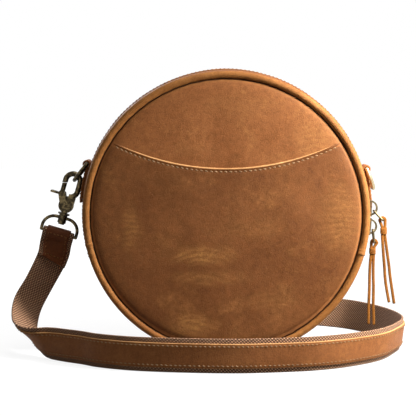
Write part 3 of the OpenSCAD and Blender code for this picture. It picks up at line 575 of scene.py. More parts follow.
def leather(name, tone, deep, pulled, mottle=0.6, scratches=0.5, dryness=0.6, rim=(), spots=(), bump=0.2):
    """Leather in three tones. Each rim is (from, to, colour, strength) for what changes towards the bag's edge:
    paler wear for some rims, painted shade in the groove for others, and each spot is (X, Z, half width, half
    height, strength) of a rubbed place, some of them painted highlights."""
    material, tree, shader = new_material(name, {"Specular IOR Level": 0.2, "Specular Tint": WARM_GLOSS})
    values = {"Tone": (*tone, 1), "Deep": (*deep, 1), "Pulled": (*pulled, 1),
              "Mottle": mottle, "Scratches": scratches, "Dryness": dryness}
    if spots:
        values["Rubs And Highlights"] = rub_and_highlight_mask(tree, spots)
    skin = place_group(tree, "leather_skin", values)
    colour = skin["Color"]
    for start, end, rim_tone, strength in rim:
        wear_and_shade_mask = place_group(tree, "rim_wear_and_shade", {"From": start * MM, "To": end * MM})
        colour = mix_colour(tree, times(tree, wear_and_shade_mask["Mask"], strength), colour, (*rim_tone, 1))
    link_all(tree, shader, {"Base Color": colour, "Roughness": skin["Roughness"]})
    add_bump(tree, shader, skin["Height"], bump)
    return material


def webbing(name, dark, light, pitch):
    material, tree, shader = new_material(name, {"Specular IOR Level": 0.15, "Sheen Weight": 0.08,
                                                 "Sheen Roughness": 0.5})
    cloth = place_group(tree, "twill", {"Dark Thread": (*dark, 1), "Light Thread": (*light, 1), "Pitch": pitch})
    link_all(tree, shader, {"Base Color": cloth["Color"], "Roughness": cloth["Roughness"]})
    add_bump(tree, shader, cloth["Height"], 0.35)
    return material


def woven(name, thread, pitch):
    material, tree, shader = new_material(name, {"Specular IOR Level": 0.15, "Roughness": 0.85})
    cloth = place_group(tree, "plain_weave", {"Thread": (*thread, 1), "Pitch": pitch})
    link_all(tree, shader, {"Base Color": cloth["Color"]})
    add_bump(tree, shader, cloth["Height"], 0.2)
    return material


def metal(name, bright, dark, age, polish):
    material, tree, shader = new_material(name, {"Metallic": 1.0})
    plating = place_group(tree, "aged_metal", {"Bright": (*bright, 1), "Dark": (*dark, 1),
                                               "Age": age, "Polish": polish})
    link_all(tree, shader, {"Base Color": plating["Color"], "Roughness": plating["Roughness"]})
    add_bump(tree, shader, plating["Height"], 0.03)
    return material


BODY_TONE = (0.205, 0.072, 0.021)
BODY_DEEP = (0.125, 0.039, 0.0105)
BODY_PULLED = (0.43, 0.19, 0.052)
FACE_DEEP = (0.2, 0.064, 0.017)
EDGE_TONE = (0.55, 0.24, 0.075)
# Near-black painted shade for the groove between a panel and its piping
GROOVE_SHADE_TONE = (0.03, 0.011, 0.004)
# A panel's rim: a paler worn band, then painted shade in the groove by the piping
PANEL_RIM_WEAR_AND_SHADE = ((100.6, 102.6, EDGE_TONE, 0.2), (102.9, 103.5, GROOVE_SHADE_TONE, 0.94))
# Painted shade on the piping's inner flank, down in the groove
PIPING_GROOVE_SHADE = ((104.75, 104.2, GROOVE_SHADE_TONE, 0.9),)
# Rubbed patches on the pocket; the tall spot at X 86 is a painted highlight on its right side, and the narrow one
# at X -72 a painted highlight on a dent
POCKET_RUBS_AND_HIGHLIGHTS = ((-19, 77, 30, 9, 0.85), (-14, 60, 36, 7, 0.5), (-26, 24, 22, 10, 0.9), (-72, 98, 9, 22, 0.6),
                (34, 42, 26, 10, 0.35), (16, 98, 34, 10, 0.25), (86, 104, 20, 34, 0.5))
# Rubbed patches on the panel; the spot at X 70 is a painted highlight on its upper right
PANEL_RUBS_AND_HIGHLIGHTS = ((-24, 158, 22, 8, 0.25), (10, 192, 34, 10, 0.25), (70, 164, 22, 26, 0.6))
panel_leather = leather("panel_leather", (0.3, 0.106, 0.032), FACE_DEEP, (0.46, 0.2, 0.062), mottle=0.55,
                        rim=PANEL_RIM_WEAR_AND_SHADE, spots=PANEL_RUBS_AND_HIGHLIGHTS)
pocket_leather = leather("pocket_leather", BODY_TONE, BODY_DEEP, BODY_PULLED, rim=PANEL_RIM_WEAR_AND_SHADE, spots=POCKET_RUBS_AND_HIGHLIGHTS)
back_leather = leather("back_leather", BODY_TONE, BODY_DEEP, BODY_PULLED, rim=PANEL_RIM_WEAR_AND_SHADE)
gusset_leather = leather("gusset_leather", (0.26, 0.088, 0.025), BODY_DEEP, BODY_PULLED)
piping_leather = leather("piping_leather", (0.35, 0.135, 0.033), (0.21, 0.07, 0.016), (0.5, 0.22, 0.066),
                         mottle=0.7, scratches=0.3, rim=PIPING_GROOVE_SHADE, bump=0.22)
cut_edge = leather("cut_edge", (0.6, 0.31, 0.12), (0.42, 0.18, 0.06), (0.7, 0.42, 0.2),
                   mottle=0.5, scratches=0.1, dryness=0.9)
tab_leather = leather("tab_leather", (0.28, 0.098, 0.028), BODY_DEEP, BODY_PULLED)
strap_leather = leather("strap_leather", (0.3, 0.108, 0.033), FACE_DEEP, (0.45, 0.2, 0.062),
                        mottle=0.5, scratches=0.6)
patch_leather = leather("patch_leather", (0.16, 0.042, 0.011), (0.08, 0.02, 0.006), (0.3, 0.1, 0.028), mottle=0.7)
lace_leather = leather("lace_leather", (0.31, 0.112, 0.016), (0.17, 0.054, 0.008), (0.44, 0.19, 0.035),
                       mottle=0.5, scratches=0.3)
strap_webbing = webbing("strap_webbing", (0.1, 0.045, 0.023), (0.68, 0.39, 0.22), 2.2)
zip_webbing = webbing("zip_webbing", (0.03, 0.015, 0.008), (0.1, 0.055, 0.03), 1.2)
lining_cloth = woven("lining_cloth", (0.32, 0.25, 0.16), 0.7)
padding_felt = woven("padding_felt", (0.62, 0.57, 0.48), 1.6)
piping_cord = woven("piping_cord", (0.5, 0.44, 0.34), 0.9)
pale_thread = woven("pale_thread", (0.48, 0.3, 0.15), 0.35)
tan_thread = woven("tan_thread", (0.4, 0.19, 0.065), 0.35)
dark_thread = woven("dark_thread", (0.035, 0.015, 0.006), 0.35)
hook_brass = metal("hook_brass", (0.17, 0.125, 0.06), (0.016, 0.013, 0.009), 0.92, 0.75)
ring_brass = metal("ring_brass", (0.8, 0.66, 0.4), (0.36, 0.26, 0.13), 0.4, 0.65)
zip_brass = metal("zip_brass", (0.42, 0.33, 0.18), (0.06, 0.045, 0.025), 0.8, 0.6)


# Camera, lamps and floor

LAMPS = (  # name, place, aim, size, power and spread in degrees
    ("key", (0.365, -0.165, 0.345), (0.155, -0.03, 0.15), 0.14, 1.5, 80),
    ("top", (0.1, -0.08, 0.75), (0, 0, 0.1), 0.5, 3.0, 180),
    ("front", (0.1, -1.3, 0.5), (0, 0, 0.1), 0.5, 0.9, 180),
    ("back", (-0.5, 1.1, 0.6), (0, 0, 0.1), 0.6, 6.0, 180),
)
CAMERA_AT = (-0.014, -1.033, 0.19)
CAMERA_DOWN = math.radians(4.39)
CAMERA_LENS = 113.75
AMBIENT = 0.04
FLOOR_REACH = 3.0
FLOOR_GREY = (0.16, 0.16, 0.16, 1)
NEAR_GLOW = 0.86
GLOW_FROM, GLOW_TO = 0.22, 0.45


def build_camera():
    camera = bpy.data.objects.new("camera", bpy.data.cameras.new("camera"))
    camera.data.sensor_width = 36.0
    camera.data.lens = CAMERA_LENS
    camera.location = CAMERA_AT
    camera.rotation_euler = (math.pi / 2 - CAMERA_DOWN, 0, 0)
    camera.data.clip_start = 0.01
    bpy.context.scene.collection.objects.link(camera)
    bpy.context.scene.camera = camera


def add_lamp(name, place, aim, size, power, spread):
    data = bpy.data.lights.new(name, "AREA")
    data.shape = "DISK"
    data.size = size
    data.energy = power
    data.spread = math.radians(spread)
    lamp = bpy.data.objects.new(name, data)
    lamp.location = place
    lamp.rotation_euler = (Vector(aim) - Vector(place)).to_track_quat("-Z", "Y").to_euler()
    bpy.context.scene.collection.objects.link(lamp)


def background_share(tree):
    """1 for rays that see the backdrop directly, in metal or through glass."""
    path = add_node(tree, "ShaderNodeLightPath").outputs
    seen = math_node(tree, "MAXIMUM", path["Is Camera Ray"], path["Is Glossy Ray"])
    return math_node(tree, "MAXIMUM", seen, path["Is Transmission Ray"])


def build_world():
    """A white backdrop that gives hardly any light itself."""
    world = bpy.data.worlds.new("studio")
    world.use_nodes = True
    bpy.context.scene.world = world
    tree = world.node_tree
    background = tree.nodes["Background"].inputs
    background["Color"].default_value = (1, 1, 1, 1)
    strength = in_range(tree, background_share(tree), 0.0, 1.0, AMBIENT, 1.0)
    tree.links.new(strength, background["Strength"])


def build_floor():
    """A white floor that keeps the bag's shadow and turns into the backdrop farther out."""
    mesh = bpy.data.meshes.new("floor")
    corners = [(x * FLOOR_REACH, y * FLOOR_REACH, 0) for x, y in ((-1, -1), (1, -1), (1, 1), (-1, 1))]
    mesh.from_pydata(corners, [], [(0, 1, 2, 3)])
    floor = bpy.data.objects.new("floor", mesh)
    bpy.context.scene.collection.objects.link(floor)
    material, tree, shader = new_material("floor_white", {"Base Color": FLOOR_GREY, "Roughness": 0.9,
                                                          "Specular IOR Level": 0.1,
                                                          "Emission Color": (1, 1, 1, 1)})
    away = vector_node(tree, "LENGTH", object_place(tree))
    glow = times(tree, smooth_mask(tree, away, GLOW_FROM, GLOW_TO), 1 - NEAR_GLOW, NEAR_GLOW)
    link_all(tree, shader, {"Emission Strength": times(tree, background_share(tree), glow)})
    mesh.materials.append(material)


# The bag's leather

def dome(r):
    """How far a panel bulges: a low crown, full to its rim, that rolls steeply into the seam."""
    share = min(r / PANEL_EDGE_R, 1)
    return PANEL_CROWN * (1 - share ** 2) + RIM_RISE * math.sqrt(1 - share ** RIM_SHARPNESS) - RIM_SINK


def slack(p, seed):
    """How the leather of a panel rises and sinks a little between its seams."""
    fade = max(0.0, 1 - (axis_distance(p) / PANEL_EDGE_R) ** 6)
    return fade * (0.9 * ripple(p, 62, seed) + 0.35 * ripple(p, 21, seed + 3) + 0.1 * ripple(p, 8, seed + 5))


def panel_place(r, degrees, side, height):
    """A place on a panel, this much over its flat face."""
    p = on_bag(r, degrees, 0)
    p.y = side * (HALF_DEPTH + height + slack(p, PANEL_SEEDS[side]))
    return p


def panel_profile():
    """A panel's face from near its middle to the fold where its edge turns in, as (radius, height)."""
    steps = 58
    radii = [PANEL_EDGE_R * (1 - (1 - i / steps) ** 1.7) for i in range(1, steps + 1)]
    profile = [(r, dome(r)) for r in radii]
    return profile + [(PANEL_EDGE_R, -RIM_SINK - 1.0), (PANEL_EDGE_R, -RIM_SINK - 2.0)]


PANEL_SEEDS = {-1: 0.0, 1: 23.0}
PANEL_PROFILE = panel_profile()


def build_panel(label, side, material):
    points = [panel_place(r, 360 * j / PANEL_COLUMNS, side, height)
              for r, height in PANEL_PROFILE for j in range(PANEL_COLUMNS)]
    points.append(panel_place(0, 0, side, dome(0)))
    faces = disc_faces(len(PANEL_PROFILE), PANEL_COLUMNS, side)
    piece = add_piece(f"{label}_panel_skin", points, faces, "bag", [material], [f"{label}_panel"])
    thicken(piece, SKIN_T)


def pocket_edge_z(x):
    """Height of the pocket's edge over the bag's middle."""
    return POCKET_LOW + POCKET_ARC_R - math.sqrt(POCKET_ARC_R ** 2 - x * x)


def pocket_lift(p):
    """The pocket lies on the panel, stands off it a little towards its open edge, and is drawn in at its seam."""
    below = max(0.0, pocket_edge_z(p.x) - (p.z - BAG_Z))
    open_share = math.exp(-below / 16) * max(0.0, 1 - (axis_distance(p) / 100) ** 4)
    sewn = 0.3 * math.exp(-((below - POCKET_SEAM) / 0.9) ** 2)
    return LEATHER_T + 0.1 + 0.7 * open_share - sewn


def pocket_face(p):
    r = axis_distance(p)
    settled = min(1, max(0.0, (PANEL_EDGE_R - r) / LEATHER_T))
    return -(HALF_DEPTH + dome(r) + slack(p, PANEL_SEEDS[-1]) + pocket_lift(p) * settled)


def build_pocket():
    """The front pocket: a skin between the bag's round edge and the arc of its opening."""
    rows, columns, edge_rows = 64, 200, 3
    edge_round = 1.2
    stitch_steps, stitch_end = 90, 3.5
    outer = PANEL_EDGE_R - 0.1
    tries = (x / 100 for x in range(int(PANEL_EDGE_R * 100)))
    end_x = next(x for x in tries if math.hypot(x, pocket_edge_z(x)) >= outer)
    end_deg = math.degrees(math.atan2(pocket_edge_z(end_x), end_x))
    points = []
    for i in range(rows + 1):
        up = 1 - (1 - i / rows) ** 1.6 if i else 0.0
        for j in range(columns + 1):
            low = on_bag(outer, 180 - end_deg + j / columns * (180 + 2 * end_deg), 0)
            x = -end_x * math.cos(math.pi * j / columns)
            top = Vector((x, 0, BAG_Z + pocket_edge_z(x)))
            p = low.lerp(top, up)
            near_edge = max(0.0, 1 - (top - p).length / edge_round)
            p.y = pocket_face(p) + 1 - math.sqrt(1 - near_edge ** 2)
            points.append(p)
    edge_faces = [1 if face // columns >= rows - edge_rows else 0 for face in range(rows * columns)]
    piece = add_piece("front_pocket_skin", points, grid_faces(rows + 1, columns + 1), "bag",
                      [pocket_leather, cut_edge], ["front_pocket", "pocket_lining"], face_materials=edge_faces)
    thicken(piece, SKIN_T, rim=1)
    line = []
    for k in range(2 * stitch_steps + 1):
        x = (end_x - stitch_end) * (k / stitch_steps - 1)
        slope = x / math.sqrt(POCKET_ARC_R ** 2 - x * x)
        inwards = Vector((slope, 0, -1)).normalized()
        p = Vector((x, 0, BAG_Z + pocket_edge_z(x))) + inwards * POCKET_SEAM
        p.y = pocket_face(p) + 0.02
        line.append((p, Vector((0, -1, 0))))
    add_stitches("pocket_stitches", stitch_row(line, **POCKET_STITCH), pale_thread)


# The piping: a roll of leather round a twisted cord

ROLL_ROWS = 480
CORD_R, CORD_STRANDS, CORD_TURNS = 1.45, 3, 90


def roll_place(r, a, degrees, side):
    """A place at the angle a on a roll of radius r that runs round the bag."""
    return on_bag(PIPING_RING_R + r * math.cos(a), degrees, side * HALF_DEPTH + r * math.sin(a))


def build_roll(name, side, radius_at, columns, floor, material, replaced):
    """A roll all round the bag, pressed no lower than the floor given. radius_at tells its radius at a place."""
    points = []
    for i in range(ROLL_ROWS):
        degrees = 360 * i / ROLL_ROWS
        for j in range(columns):
            a = 2 * math.pi * j / columns
            points.append(press_down(roll_place(radius_at(degrees, a, side), a, degrees, side), floor))
    add_piece(name, points, ring_faces(ROLL_ROWS, columns), "bag", [material], [replaced])


def creased_radius(degrees, a, side):
    crease = ripple(on_bag(PIPING_RING_R, degrees, side * 40), 3.2, side * 2.0)
    swell = ripple(on_bag(PIPING_RING_R, degrees, 0), 26, side * 5.0)
    return PIPING_R * (1 + 0.035 * crease * abs(crease) + 0.02 * swell) - 0.05


def twisted_radius(degrees, a, side):
    return CORD_R * (1 + 0.05 * math.cos(CORD_STRANDS * a + CORD_TURNS * math.radians(degrees)) - 0.05)


def build_piping_join(name, side, degrees):
    """Where the roll's ends meet, one is wrapped over the other."""
    rows, columns, width_deg = 9, 18, 2.4
    points = []
    for i in range(rows):
        t = i / (rows - 1)
        r = PIPING_R + 0.1 + 0.3 * math.sin(math.pi * min(1, 1.6 * t + 0.1))
        points += [roll_place(r, 2 * math.pi * j / columns, degrees + width_deg * (t - 0.5), side)
                   for j in range(columns)]
    add_piece(name, points, tube_faces(rows, columns), "bag", [piping_leather])


def build_rim_stitches(name, side):
    """Dark stitches that show in the groove between a panel and its piping."""
    line = [(on_bag(SEAM_R, k, side * (HALF_DEPTH + 0.1)), Vector((0, side, 0))) for k in range(361)]
    add_stitches(name, stitch_row(line, **RIM_STITCH), dark_thread)


# The gusset: a lower band, and a strip on each side of the zip

def gusset_r(y):
    """Height of the gusset's face over the bag's axis, rolled in at its edges."""
    r = GUSSET_TOP - GUSSET_FALL * (y / GUSSET_HALF) ** 2
    over_edge = min(1.0, max(0.0, (abs(y) - GUSSET_HALF + EDGE_ROLL) / EDGE_ROLL))
    return r - EDGE_ROLL * (1 - math.sqrt(1 - over_edge ** 2)) * 0.9


def gusset_dent(degrees, y):
    """Soft unevenness, with small puckers along the piping."""
    p = on_bag(BAG_R, degrees, y)
    pucker = max(0.0, abs(y) - 20) / 10 * ripple(on_bag(BAG_R, degrees, 0), 4.5, 17.0)
    return 0.35 * ripple(p, 40, 11.0) + 0.12 * ripple(p, 11, 13.0) + 0.22 * pucker


def gusset_place(degrees, y, inset=0.0):
    return on_bag(gusset_r(y) - inset + gusset_dent(degrees, y), degrees, y)


# Where a strip's edge beside the zip is turned under, as (in from the edge, down from the face)
ZIP_FOLD = ((2.2, 1.5), (0.4, 1.45), (-0.15, 0.8))
ZIP_FOLD_T = 1.2


def gusset_section(low_y, high_y, low_fold, high_fold):
    """A closed section of the gusset's leather as (y, inset). A fold rounds that edge and turns it under."""
    steps = 22
    top = [(low_y + (high_y - low_y) * i / steps, 0.0) for i in range(steps + 1)]
    section = []
    if low_fold:
        section += [(low_y + inwards, inset) for inwards, inset in ZIP_FOLD]
    section += top
    if high_fold:
        section += [(high_y - inwards, inset) for inwards, inset in ZIP_FOLD[::-1]]
    for y, _ in top[::-1]:
        beside_zip = (low_fold or high_fold) and abs(y - ZIP_Y) < 8
        section.append((y, SKIN_T + (ZIP_FOLD_T if beside_zip else 0.0)))
    return section


def band_mesh(section, from_deg, to_deg, floor=0.0):
    """A band that follows the gusset between two angles round the bag, pressed no lower than the floor given."""
    rows = max(40, int((to_deg - from_deg) * 1.3))
    points = []
    for i in range(rows + 1):
        degrees = from_deg + (to_deg - from_deg) * i / rows
        points += [press_down(gusset_place(degrees, y, inset), floor) for y, inset in section]
    return points, tube_faces(rows + 1, len(section))


def around_line(from_deg, to_deg, y, steps=260):
    """A line round the gusset's face, for stitches."""
    line = [gusset_place(from_deg + (to_deg - from_deg) * k / steps, y) for k in range(steps + 1)]
    return [(p, away_from_axis(p)) for p in line]


def across_line(degrees, half_y, steps=60):
    line = [gusset_place(degrees, half_y * (2 * k / steps - 1)) for k in range(steps + 1)]
    return [(p, away_from_axis(p)) for p in line]


def build_gusset():
    front_edge, back_edge = ZIP_Y - ZIP_HALF_GAP, ZIP_Y + ZIP_HALF_GAP
    bands = (
        ("lower_skin", (-GUSSET_HALF, GUSSET_HALF, False, False), ZIP_TO + 0.05, 360 + ZIP_FROM - 0.05, "lower"),
        ("front_skin", (-GUSSET_HALF, front_edge, False, True), ZIP_FROM, ZIP_TO, "front_strip"),
        ("back_skin", (back_edge, GUSSET_HALF, True, False), ZIP_FROM, ZIP_TO, "back_strip"),
    )
    for name, edges, from_deg, to_deg, node in bands:
        points, faces = band_mesh(gusset_section(*edges), from_deg, to_deg)
        add_piece(f"gusset_{name}", points, faces, "bag", [gusset_leather], [f"gusset_{node}"])
    parts = []
    for y in (front_edge - 1.9, back_edge + 1.9):
        parts += stitch_row(around_line(ZIP_FROM + 1, ZIP_TO - 1, y), **ZIP_STITCH)
    for end, inward in ((ZIP_FROM, -1), (ZIP_TO, 1)):
        for gap in (1.0, 2.2):
            parts += stitch_row(across_line(end + inward * gap, 27), **SEAM_STITCH)
    add_stitches("gusset_stitches", parts, tan_thread)


# What lies inside: padding, lining and an inner pocket

PADDING_IN, PADDING_T = 1.7, 2.0
LINING_IN, LINING_T = 3.8, 0.4
INNER_POCKET_IN = 4.3
INNER_POCKET_TOP = 25.0
LINING_R = 100.0
LINING_HALF = 27.8
LINING_UNDER_GUSSET = 3.3
LINING_FLOOR = 2.2


def build_layer(name, side, inset, thickness, material, replaced, radius=LINING_R, top=1000.0):
    """A round layer behind a panel, which rises and sinks with it. top cuts it off level, over the bag's middle."""
    rings, columns = 30, 120
    points = []
    for i in range(1, rings + 1):
        for j in range(columns):
            a = 2 * math.pi * j / columns
            reach = min(radius, top / math.sin(a)) if math.sin(a) > 0.001 else radius
            r = reach * i / rings
            points.append(panel_place(r, math.degrees(a), side, dome(r) - inset))
    points.append(panel_place(0, 0, side, dome(0) - inset))
    piece = add_piece(name, points, disc_faces(rings, columns, side), "bag", [material], [replaced])
    return thicken(piece, thickness)


def build_lining():
    """Cloth discs behind both panels, with padding under them, a pocket at the back, and cloth under the gusset."""
    for side, label in SIDES:
        pad = build_layer(f"{label}_padding_felt", side, PADDING_IN, PADDING_T, padding_felt,
                          f"{label}_padding")
        cloth = build_layer(f"lining_{label}_cloth", side, LINING_IN, LINING_T, lining_cloth,
                            f"lining_{label}")
    pocket = build_layer("inner_pocket_cloth", 1, INNER_POCKET_IN, LINING_T, lining_cloth,
                         "inner_pocket", LINING_R - 1, INNER_POCKET_TOP)
    parts, area = [], 0.0
    for from_y, to_y, from_deg, to_deg in ((-LINING_HALF, LINING_HALF, ZIP_TO, 360 + ZIP_FROM),
                                           (-LINING_HALF, ZIP_Y - ZIP_HALF_GAP, ZIP_FROM, ZIP_TO),
                                           (ZIP_Y + ZIP_HALF_GAP, LINING_HALF, ZIP_FROM, ZIP_TO)):
        across = [from_y + (to_y - from_y) * k / 12 for k in range(13)]
        section = [(y, LINING_UNDER_GUSSET) for y in across]
        section += [(y, LINING_UNDER_GUSSET + LINING_T) for y in across[::-1]]
        parts.append(band_mesh(section, from_deg, to_deg, LINING_FLOOR))
        area += (to_y - from_y) * math.radians(to_deg - from_deg) * (GUSSET_TOP - LINING_UNDER_GUSSET)
    points, faces = join_meshes(parts)
    band = add_piece("lining_gusset_cloth", points, faces, "bag", [lining_cloth], ["lining_gusset"])


# The zip

TAPE_INNER, TAPE_OUTER = 1.8, 8.2
TOOTH_PITCH_DEG = 1.25
TOOTH_HALF_DEG = 0.27
# A tooth from its foot to its nose, as distance from the zip's middle, height and width
TOOTH_SHARES = ((-3.1, 0.0, 1.0), (-3.1, 0.72, 1.0), (-1.6, 1.0, 1.0), (0.3, 0.95, 0.8), (0.8, 0.6, 0.62))


def zip_place(degrees, out, along_y):
    """A place in the zip's own frame: out from its tape and across it."""
    r = ZIP_SEAT_R + out * math.cos(ZIP_TILT) + along_y * math.sin(ZIP_TILT)
    y = ZIP_Y + along_y * math.cos(ZIP_TILT) - out * math.sin(ZIP_TILT)
    return on_bag(r, degrees, y)


def build_zip_tape(label, side):
    rows, sunk, half = 260, -0.3, 0.3
    places = []
    for i in range(rows + 1):
        degrees = ZIP_FROM + (ZIP_TO - ZIP_FROM) * i / rows
        middle = zip_place(degrees, sunk, side * (TAPE_INNER + TAPE_OUTER) / 2)
        across = (zip_place(degrees, sunk, 1.0) - zip_place(degrees, sunk, 0.0)).normalized()
        out = (zip_place(degrees, 1.0, 0.0) - zip_place(degrees, 0.0, 0.0)).normalized()
        places.append((middle, across, out))
    section = strip_section(TAPE_OUTER - TAPE_INNER, -half, half, 0.2, 2)
    add_strip(f"zip_tape_{label}_cloth", places, section, "bag", [zip_webbing], [f"zip_tape_{label}"])


def build_teeth(label, side):
    """Cast teeth, each with a broad foot on its tape and a nose that meets the other row."""
    count = int((ZIP_TO - ZIP_FROM - 2.4) / TOOTH_PITCH_DEG)
    shift = 0.0 if side < 0 else 0.5
    foot = -1.1
    faces = grid_faces(len(TOOTH_SHARES), 6, closed=True, flip=side > 0)
    last = 6 * (len(TOOTH_SHARES) - 1)
    ends = ((0, 1, 2, 3, 4, 5), tuple(last + j for j in range(5, -1, -1)))
    faces += [end if side > 0 else end[::-1] for end in ends]
    parts = []
    for k in range(count):
        degrees = ZIP_FROM + 1.4 + TOOTH_PITCH_DEG * (k + shift)
        points = []
        for y, height, width in TOOTH_SHARES:
            top = 0.15 + 0.95 * height
            outline = ((-1, foot), (-1, top - 0.25), (-0.6, top), (0.6, top), (1, top - 0.25), (1, foot))
            points += [zip_place(degrees + turn * width * TOOTH_HALF_DEG, out, -side * y)
                       for turn, out in outline]
        parts.append((points, faces))
    points, faces = join_meshes(parts)
    piece = add_piece(f"zip_teeth_{label}_row", points, faces, "bag", [zip_brass],
                      [f"zip_teeth_{label}"])
    for polygon in piece.data.polygons:
        polygon.use_smooth = False


# Tabs

# Its two layers lie on the gusset, and between them it goes round the bar
TAB_OUTER_R, TAB_INNER_R, TAB_LOOP_R = 114.75, 113.05, 2.6
TAB_OUTER_DEG, TAB_INNER_DEG = 14.1, 11.5
TAB_LOOP_FROM_DEG, TAB_LOOP_DEG = -58, 215
TAB_DROP_DEG = 15.3
TAB_HALF_T = 0.75


def build_tab(name, bar_deg, mirror):
    """A strip of leather folded round a ring's bar and sewn down the gusset."""
    centre = Vector((0, TAB_Y, BAG_Z))
    bar = on_bag(TAB_BAR_R, bar_deg, TAB_Y)
    low_deg = bar_deg - TAB_DROP_DEG
    line = [on_bag(TAB_OUTER_R, low_deg + TAB_OUTER_DEG * k / 16, TAB_Y) for k in range(17)]
    for k in range(15):
        a = math.radians(bar_deg + TAB_LOOP_FROM_DEG + TAB_LOOP_DEG * k / 14)
        line.append(bar + Vector((TAB_LOOP_R * math.cos(a), 0, TAB_LOOP_R * math.sin(a))))
    line += [on_bag(TAB_INNER_R, bar_deg - 2.2 - TAB_INNER_DEG * k / 12, TAB_Y) for k in range(13)]
    across = Vector((0, 1, 0))
    places = [(middle, across, across.cross(direction_at(line, i))) for i, middle in enumerate(line)]
    points, faces, _ = sweep(places, strip_section(TAB_W, -TAB_HALF_T, TAB_HALF_T, 0.4))
    parts = []
    for y in (TAB_Y - TAB_W / 2 + 2, TAB_Y + TAB_W / 2 - 2):
        row = [on_bag(TAB_OUTER_R + TAB_HALF_T, low_deg + 1.0 + 11.1 * k / 20, y) for k in range(21)]
        parts += stitch_row([(p, away_from_axis(p)) for p in row], **SEAM_STITCH)
    for degrees in (low_deg + 1.0, bar_deg - 3.2):
        row = [on_bag(TAB_OUTER_R + TAB_HALF_T, degrees, TAB_Y - TAB_W / 2 + 3 + (TAB_W - 6) * k / 8)
               for k in range(9)]
        parts += stitch_row([(p, (p - centre).normalized()) for p in row], **SEAM_STITCH)
    if mirror:
        points, faces = mirrored(points, faces)
        parts = [mirrored(*part) for part in parts]
    add_piece(f"{name}_skin", points, faces, "bag", [tab_leather], [name])
    add_stitches(f"{name}_stitches", parts, pale_thread)


def mirrored(points, faces):
    return [Vector((-p.x, p.y, p.z)) for p in points], [face[::-1] for face in faces]


# The strap

# The strap's middle line as shares: X, Y and Z of the bag's radius, then Z of the strap's width,
# and the direction across the strap. Before the first row it turns from its straight piece.
STRAIGHT = 4.16
TURN_SHARES = (0.26, 0.09, 0.39)
TURN_ACROSS = Vector((-0.84, -0.36, 0.37))
ROUTE_SHARES = (
    (-1.342, 0.01, 0.467, 0, -0.73, -0.52, 0.44),
    (-1.416, -0.085, 0.32, 0, -0.77, -0.47, 0.45),
    (-1.42, -0.225, 0.21, 0, -0.69, -0.54, 0.48),
    (-1.378, -0.352, 0, 0.70, -0.60, -0.50, 0.62),
    (-1.29, -0.43, 0, 0.54, -0.30, -0.35, 0.88),
    (-1.20, -0.485, 0, 0.50, -0.07, -0.08, 0.99),
    (-1.09, -0.565, 0, 0.50, 0, 0, 1),
    (-0.97, -0.65, 0, 0.50, 0, 0, 1),
    (-0.86, -0.745, 0, 0.50, 0, 0, 1),
    (-0.67, -0.84, 0, 0.50, 0, 0, 1),
    (-0.465, -0.895, 0, 0.50, 0, 0, 1),
    (-0.18, -0.935, 0, 0.50, 0, 0, 1),
    (0.10, -0.945, 0, 0.50, 0, 0, 1),
    (0.38, -0.905, 0, 0.50, 0, 0, 1),
    (0.59, -0.85, 0, 0.50, 0, 0, 1),
    (0.81, -0.735, 0, 0.50, 0.02, -0.02, 1),
    (1.04, -0.535, 0, 0.50, 0.08, -0.05, 1),
    (1.18, -0.28, 0, 0.50, 0.12, -0.05, 0.99),
    (1.258, -0.03, 0, 0.50, 0.12, 0, 0.99),
    (1.23, 0.26, 0, 0.50, 0.12, 0.08, 0.99),
    (1.125, 0.55, 0, 0.50, 0.08, 0.15, 0.98),
    (0.97, 0.79, 0, 0.49, 0.05, 0.24, 0.97),
    (0.785, 0.93, 0, 0.49, 0.02, 0.28, 0.96),
    (0.605, 1.0, 0, 0.48, 0, 0.35, 0.94),
    (0.445, 1.01, 0, 0.44, 0, 0.62, 0.79),
    (0.285, 0.965, 0, 0.31, 0, 0.90, 0.44),
    (0.15, 0.918, 0, 0.17, 0, 0.99, 0.1),
)
EYE_R = 1.3
FOLD_PLAY = 0.25
FOLD_MID = EYE_R + FOLD_PLAY + WEBBING_T / 2
FOLD_STEPS = 14
ROUTE_STEPS = 12
SOLID_STEPS = 4
TAIL_PLACES = 13 * ROUTE_STEPS // SOLID_STEPS
WEBBING_HALF = WEBBING_T / 2
WEBBING_SECTION = strip_section(STRAP_W, -WEBBING_HALF, WEBBING_HALF, 0.6)
OVERLAY_HIGH = WEBBING_HALF + SKIN_GAP + OVERLAY_T - 0.1


def strap_route():
    """Places as (middle, across) from the left eye's fold to the right one's."""
    start = LEFT_BAR + Vector((0, FOLD_MID, 0))
    end = RIGHT_BAR - Vector((0, 0, FOLD_MID))
    back = Vector((0, 1, 0))
    rows = [(Vector((x * BAG_R, y * BAG_R, z * BAG_R + z_strap * STRAP_W)), Vector(across))
            for x, y, z, z_strap, *across in ROUTE_SHARES]
    hang_end = start + HOOK_DOWN * 2 * STRAIGHT
    way = rows[0][0] - hang_end
    turn = hang_end + Vector([share * step for share, step in zip(TURN_SHARES, way)])
    route = [(start + HOOK_DOWN * i * STRAIGHT, HOOK_SIDE) for i in range(3)] + [(turn, TURN_ACROSS)] + rows
    route.append((end + Vector((BAG_R / 5, 0, 0)), back))
    return route + [(end + Vector((i * STRAIGHT, 0, 0)), back) for i in (2, 1, 0)]


def strap_places():
    """The strap's line as (middle, across, out), lying on the floor where it would sink into it."""
    middles, acrosses = (smooth_line(list(row), ROUTE_STEPS) for row in zip(*strap_route()))
    places = []
    for i, (middle, across) in enumerate(zip(middles, acrosses)):
        along = direction_at(middles, i)
        across = (across - along * across.dot(along)).normalized()
        out = along.cross(across)
        low = max(abs(across.z) * STRAP_W / 2 + abs(out.z) * WEBBING_HALF,
                  abs(across.z) * OVERLAY_W / 2 - out.z * (WEBBING_HALF + SKIN_GAP + OVERLAY_T))
        places.append((middle + Vector((0, 0, max(0.0, low - middle.z))), across, out))
    return places


